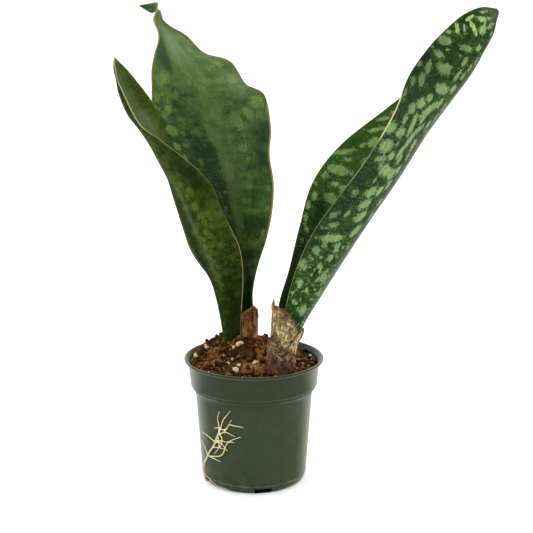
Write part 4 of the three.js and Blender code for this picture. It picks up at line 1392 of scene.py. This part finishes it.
brown_sheath = sheath_finish(
    "brown_sheath",
    {
        "pale": (196, 144, 88), "tan": (144, 88, 40), "brown": (76, 38, 11),
        "dark": (44, 20, 5), "rim": (150, 112, 70), "top": (56, 28, 10),
        "streak": (60, 30, 10),
    },
    blotch=0.55,
    amount=0.45,
    crown=0.95,
)
cream_sheath = sheath_finish(
    "cream_sheath",
    {
        "pale": (244, 226, 164), "tan": (190, 162, 104), "brown": (84, 54, 28),
        "dark": (48, 30, 16), "rim": (60, 36, 20), "top": (84, 54, 28),
        "streak": (70, 46, 24),
    },
    blotch=0.85,
    amount=0.4,
    crown=0.25,
)
purple_scale = sheath_finish(
    "purple_scale",
    {
        "pale": (132, 90, 66), "tan": (96, 58, 44), "brown": (66, 38, 32),
        "dark": (46, 26, 20), "rim": (60, 36, 26), "top": (214, 184, 128),
        "streak": (176, 138, 108),
    },
    blotch=0.7,
    amount=0.5,
    crown=0.55,
)
SHEATH_FINISHES = {
    "sheath_left": brown_sheath,
    "sheath_right_tall": cream_sheath,
    "sheath_right_side": cream_sheath,
    "sheath_right_low": purple_scale,
}
print("sheath finishes ready")


# %% Make a sheath
NIBBLES = 400  # steps of the torn edge
NIBBLE_HEIGHT = 1.3
WRINKLE_DEPTH = 0.45
CURL = 0.8  # how far the rim turns outwards
SHEATH_THICK = 0.75
RIM_THINNER = 0.5
FIRST_SEED = 3.7


def wrinkles(angle, z, seed):
    """Lengthwise folds of a dry sheath."""
    places = zip(np.degrees(angle), z)
    return np.array([noise.noise(Vector((turn * 0.09, height * 0.03, seed))) for turn, height in places])


def make_sheath(name, node, plan, finish, seed, across=110, along=44):
    """A dry leaf base round a shoot."""
    mesh, x, y, face = slab(name, across, along)
    edge = np.array(plan["edge"], float)
    axis = np.array(plan["axis"], float)
    nibble = np.array([noise.noise(Vector((k * 0.6, seed, 0))) for k in range(NIBBLES)])

    def surface(t, v):
        degrees = edge[0, 0] + (edge[-1, 0] - edge[0, 0]) * (v + 1) / 2
        top = np.interp(degrees, edge[:, 0], edge[:, 1])
        bite = np.interp((v + 1) / 2 * (NIBBLES - 1), np.arange(NIBBLES), nibble)
        top = top + NIBBLE_HEIGHT * bite * fade(t, 0.6, 1)
        z = plan["foot"] + (top - plan["foot"]) * t
        cx, cy, radius = (np.interp(z, axis[:, 0], axis[:, k]) for k in (1, 2, 3))
        turn = np.radians(degrees)
        reach = radius + plan["outward"] + WRINKLE_DEPTH * wrinkles(turn, z, seed) + CURL * fade(t, 0.86, 1)
        return np.stack([cx + reach * np.cos(turn), cy + reach * np.sin(turn), z], 1)

    t = (y + 1) / 2
    point, normal = surface_frame(surface, t, x)
    rim = np.maximum(fade(t, 0.97, 1), fade(np.abs(x), 0.97, 1))
    bend(mesh, point, normal, SHEATH_THICK - RIM_THINNER * rim, face)
    store(mesh, torn=np.maximum(fade(t, 0.9, 1), 0.6 * fade(np.abs(x), 0.94, 1)), height=t)
    to_piece(name, mesh, finish, plan["slot"], [node])


for number, (node, plan) in enumerate(SHEATHS.items()):
    make_sheath("dry_" + node, node, plan, SHEATH_FINISHES[node], FIRST_SEED + 5 * number)

# %% [markdown]
# ## Roots on the wall
# A root found a drain notch and crept up the outside of the pot. Curves with a round section follow its
# route on the wall, thick at the stem and thin at the tips. Remeshing them into one skin gives the smooth
# forks that a grown root has.

# %% Routes of the roots
STEM_ROOT = 0.85  # radius
FINE_ROOT = 0.5
STEM_TIP = 0.75  # share of the radius that is left at the tip
FINE_TIP = 0.6
GAP = 0.3  # between a root and the wall
# Degrees from the front, and height, along each root
STEM = [(-65, 6), (-66, 11), (-65, 16), (-59, 21), (-55, 25), (-49, 31), (-44, 35), (-41, 40), (-37, 46)]
FINE = [
    [(-37, 46), (-35, 50), (-36, 56), (-37, 60), (-34, 65)],
    [(-37, 46), (-34, 50), (-31, 58), (-27, 62), (-22, 67)],
    [(-37, 46), (-31, 48), (-26, 53), (-24, 56), (-21, 60)],
    [(-24, 56), (-15, 55), (-9, 55)],
    [(-37, 46), (-28, 50), (-23, 48), (-18, 47)],
    [(-42, 39), (-52, 42), (-65, 42)],
    [(-55, 25), (-61, 33), (-71, 35)],
    [(-55, 25), (-41, 27), (-33, 30), (-30, 35), (-29, 38), (-25, 42), (-19, 45), (-12, 47)],
    [(-25, 42), (-19, 42)],
    [(-41, 40), (-33, 42), (-29, 41), (-25, 42)],
    [(-38, 46), (-36, 38), (-38, 34), (-44, 29)],
    [(-46, 34), (-37, 36), (-30, 35)],
    [(-43, 37), (-38, 41), (-31, 38), (-27, 34)],
    [(-36, 47), (-32, 44), (-33, 39), (-36, 36)],
    [(-26, 53), (-30, 50), (-37, 52), (-42, 50)],
    [(-54, 25), (-45, 25), (-36, 24)],
    [(-64, 7), (-55, 5), (-46, 3), (-36, 2), (-27, 2)],
]
NOTCH_ANGLE = FIRST_NOTCH - 360 / NOTCHES
# Angle, distance from the axis and height of the buried end
BURIED = [
    (NOTCH_ANGLE, 31.5, 13), (NOTCH_ANGLE, 33, 8), (NOTCH_ANGLE, 34.2, 3.6), (NOTCH_ANGLE, 36.8, 1.5),
    (NOTCH_ANGLE - 2, 40.9, 2.2),
]


def round_pot(angle, reach, z):
    """A point at an angle from the front, a distance from the axis and a height, in metres."""
    turn = math.radians(angle)
    return Vector((reach * math.sin(turn), -reach * math.cos(turn), z)) * MM


def on_wall(angle, z, radius):
    """The middle of a root of that radius that lies on the wall."""
    wall = np.interp(z, [h for h, _ in OUTSIDE], [r for _, r in OUTSIDE])
    return round_pot(angle, wall + GAP + radius, z)


def root_curve(points, radius, tip):
    """Adds one root to the bundle, from its full radius to a share of it at the tip."""
    spline = root_bundle.splines.new("NURBS")
    spline.points.add(len(points) - 1)
    spline.use_endpoint_u = True
    spline.order_u = 3
    for number, (target, place) in enumerate(zip(spline.points, points)):
        target.co = (*place, 1)
        target.radius = radius * (1 + (tip - 1) * number / (len(points) - 1))


root_bundle = bpy.data.curves.new("root_bundle", "CURVE")
root_bundle.dimensions = "3D"
root_bundle.bevel_depth = MM  # so that a point's radius is in millimetres
root_bundle.bevel_resolution = 3
root_bundle.resolution_u = 8
root_bundle.use_fill_caps = True
buried = [round_pot(*place) for place in BURIED]
root_curve(buried + [on_wall(*place, STEM_ROOT) for place in STEM], STEM_ROOT, STEM_TIP)
for places in FINE:
    root_curve([on_wall(*place, FINE_ROOT) for place in places], FINE_ROOT * 1.05, FINE_TIP)
print(len(root_bundle.splines), "roots")

# %% [markdown]
# Young roots are cream coloured, with darker skin in places and a ruddy foot where they leave the soil.

# %% Root finish
root_cream, tree, shader = new_finish("root_cream", 0.6, 0.4)
place = object_place(tree)
uneven = ramp(tree, cloud(tree, place, 260, 4.0), 0.4, 0.65)
cream = blend(tree, uneven, paint(250, 238, 192), paint(222, 204, 148))
ruddy = ramp(tree, split(tree, place)["Z"], 22 * MM, 8 * MM)
cream = lay(tree, cream, ruddy, 0.45, paint(150, 104, 78))
tree.links.new(cream, shader["Base Color"])
tree.links.new(relief(tree, cloud(tree, place, 1500, 3.0), 0.2 * MM, 0.6), shader["Normal"])
print("finish", root_cream.name)

# %% Root piece
VOXEL = 0.26  # grain of the skin over the roots

bundle = bpy.data.objects.new("root_bundle", root_bundle)
bpy.context.collection.objects.link(bundle)
root_mesh = bpy.data.meshes.new_from_object(bundle.evaluated_get(bpy.context.evaluated_depsgraph_get()))
bpy.data.objects.remove(bundle)
root_mesh.transform(Matrix.Scale(1 / MM, 4))
root_piece = to_piece("root_net", root_mesh, root_cream, "root", ["roots"])
skin = root_piece.modifiers.new("one_skin", "REMESH")
skin.mode = "VOXEL"
skin.voxel_size = VOXEL * MM
skin.use_smooth_shade = True
even = root_piece.modifiers.new("even", "SMOOTH")
even.factor = 0.5
even.iterations = 3
settle(root_piece)
print("root skin", len(root_piece.data.polygons), "faces")

# %% [markdown]
# The rhizome is the buried stem that both shoots grow from. Nobody sees it, so the measured solid stays,
# with the colour of the roots.

# %% Rhizome finish
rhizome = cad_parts["rhizome"]
rhizome.data.materials.clear()
rhizome.data.materials.append(root_cream)
print("rhizome stays as measured, under the soil")
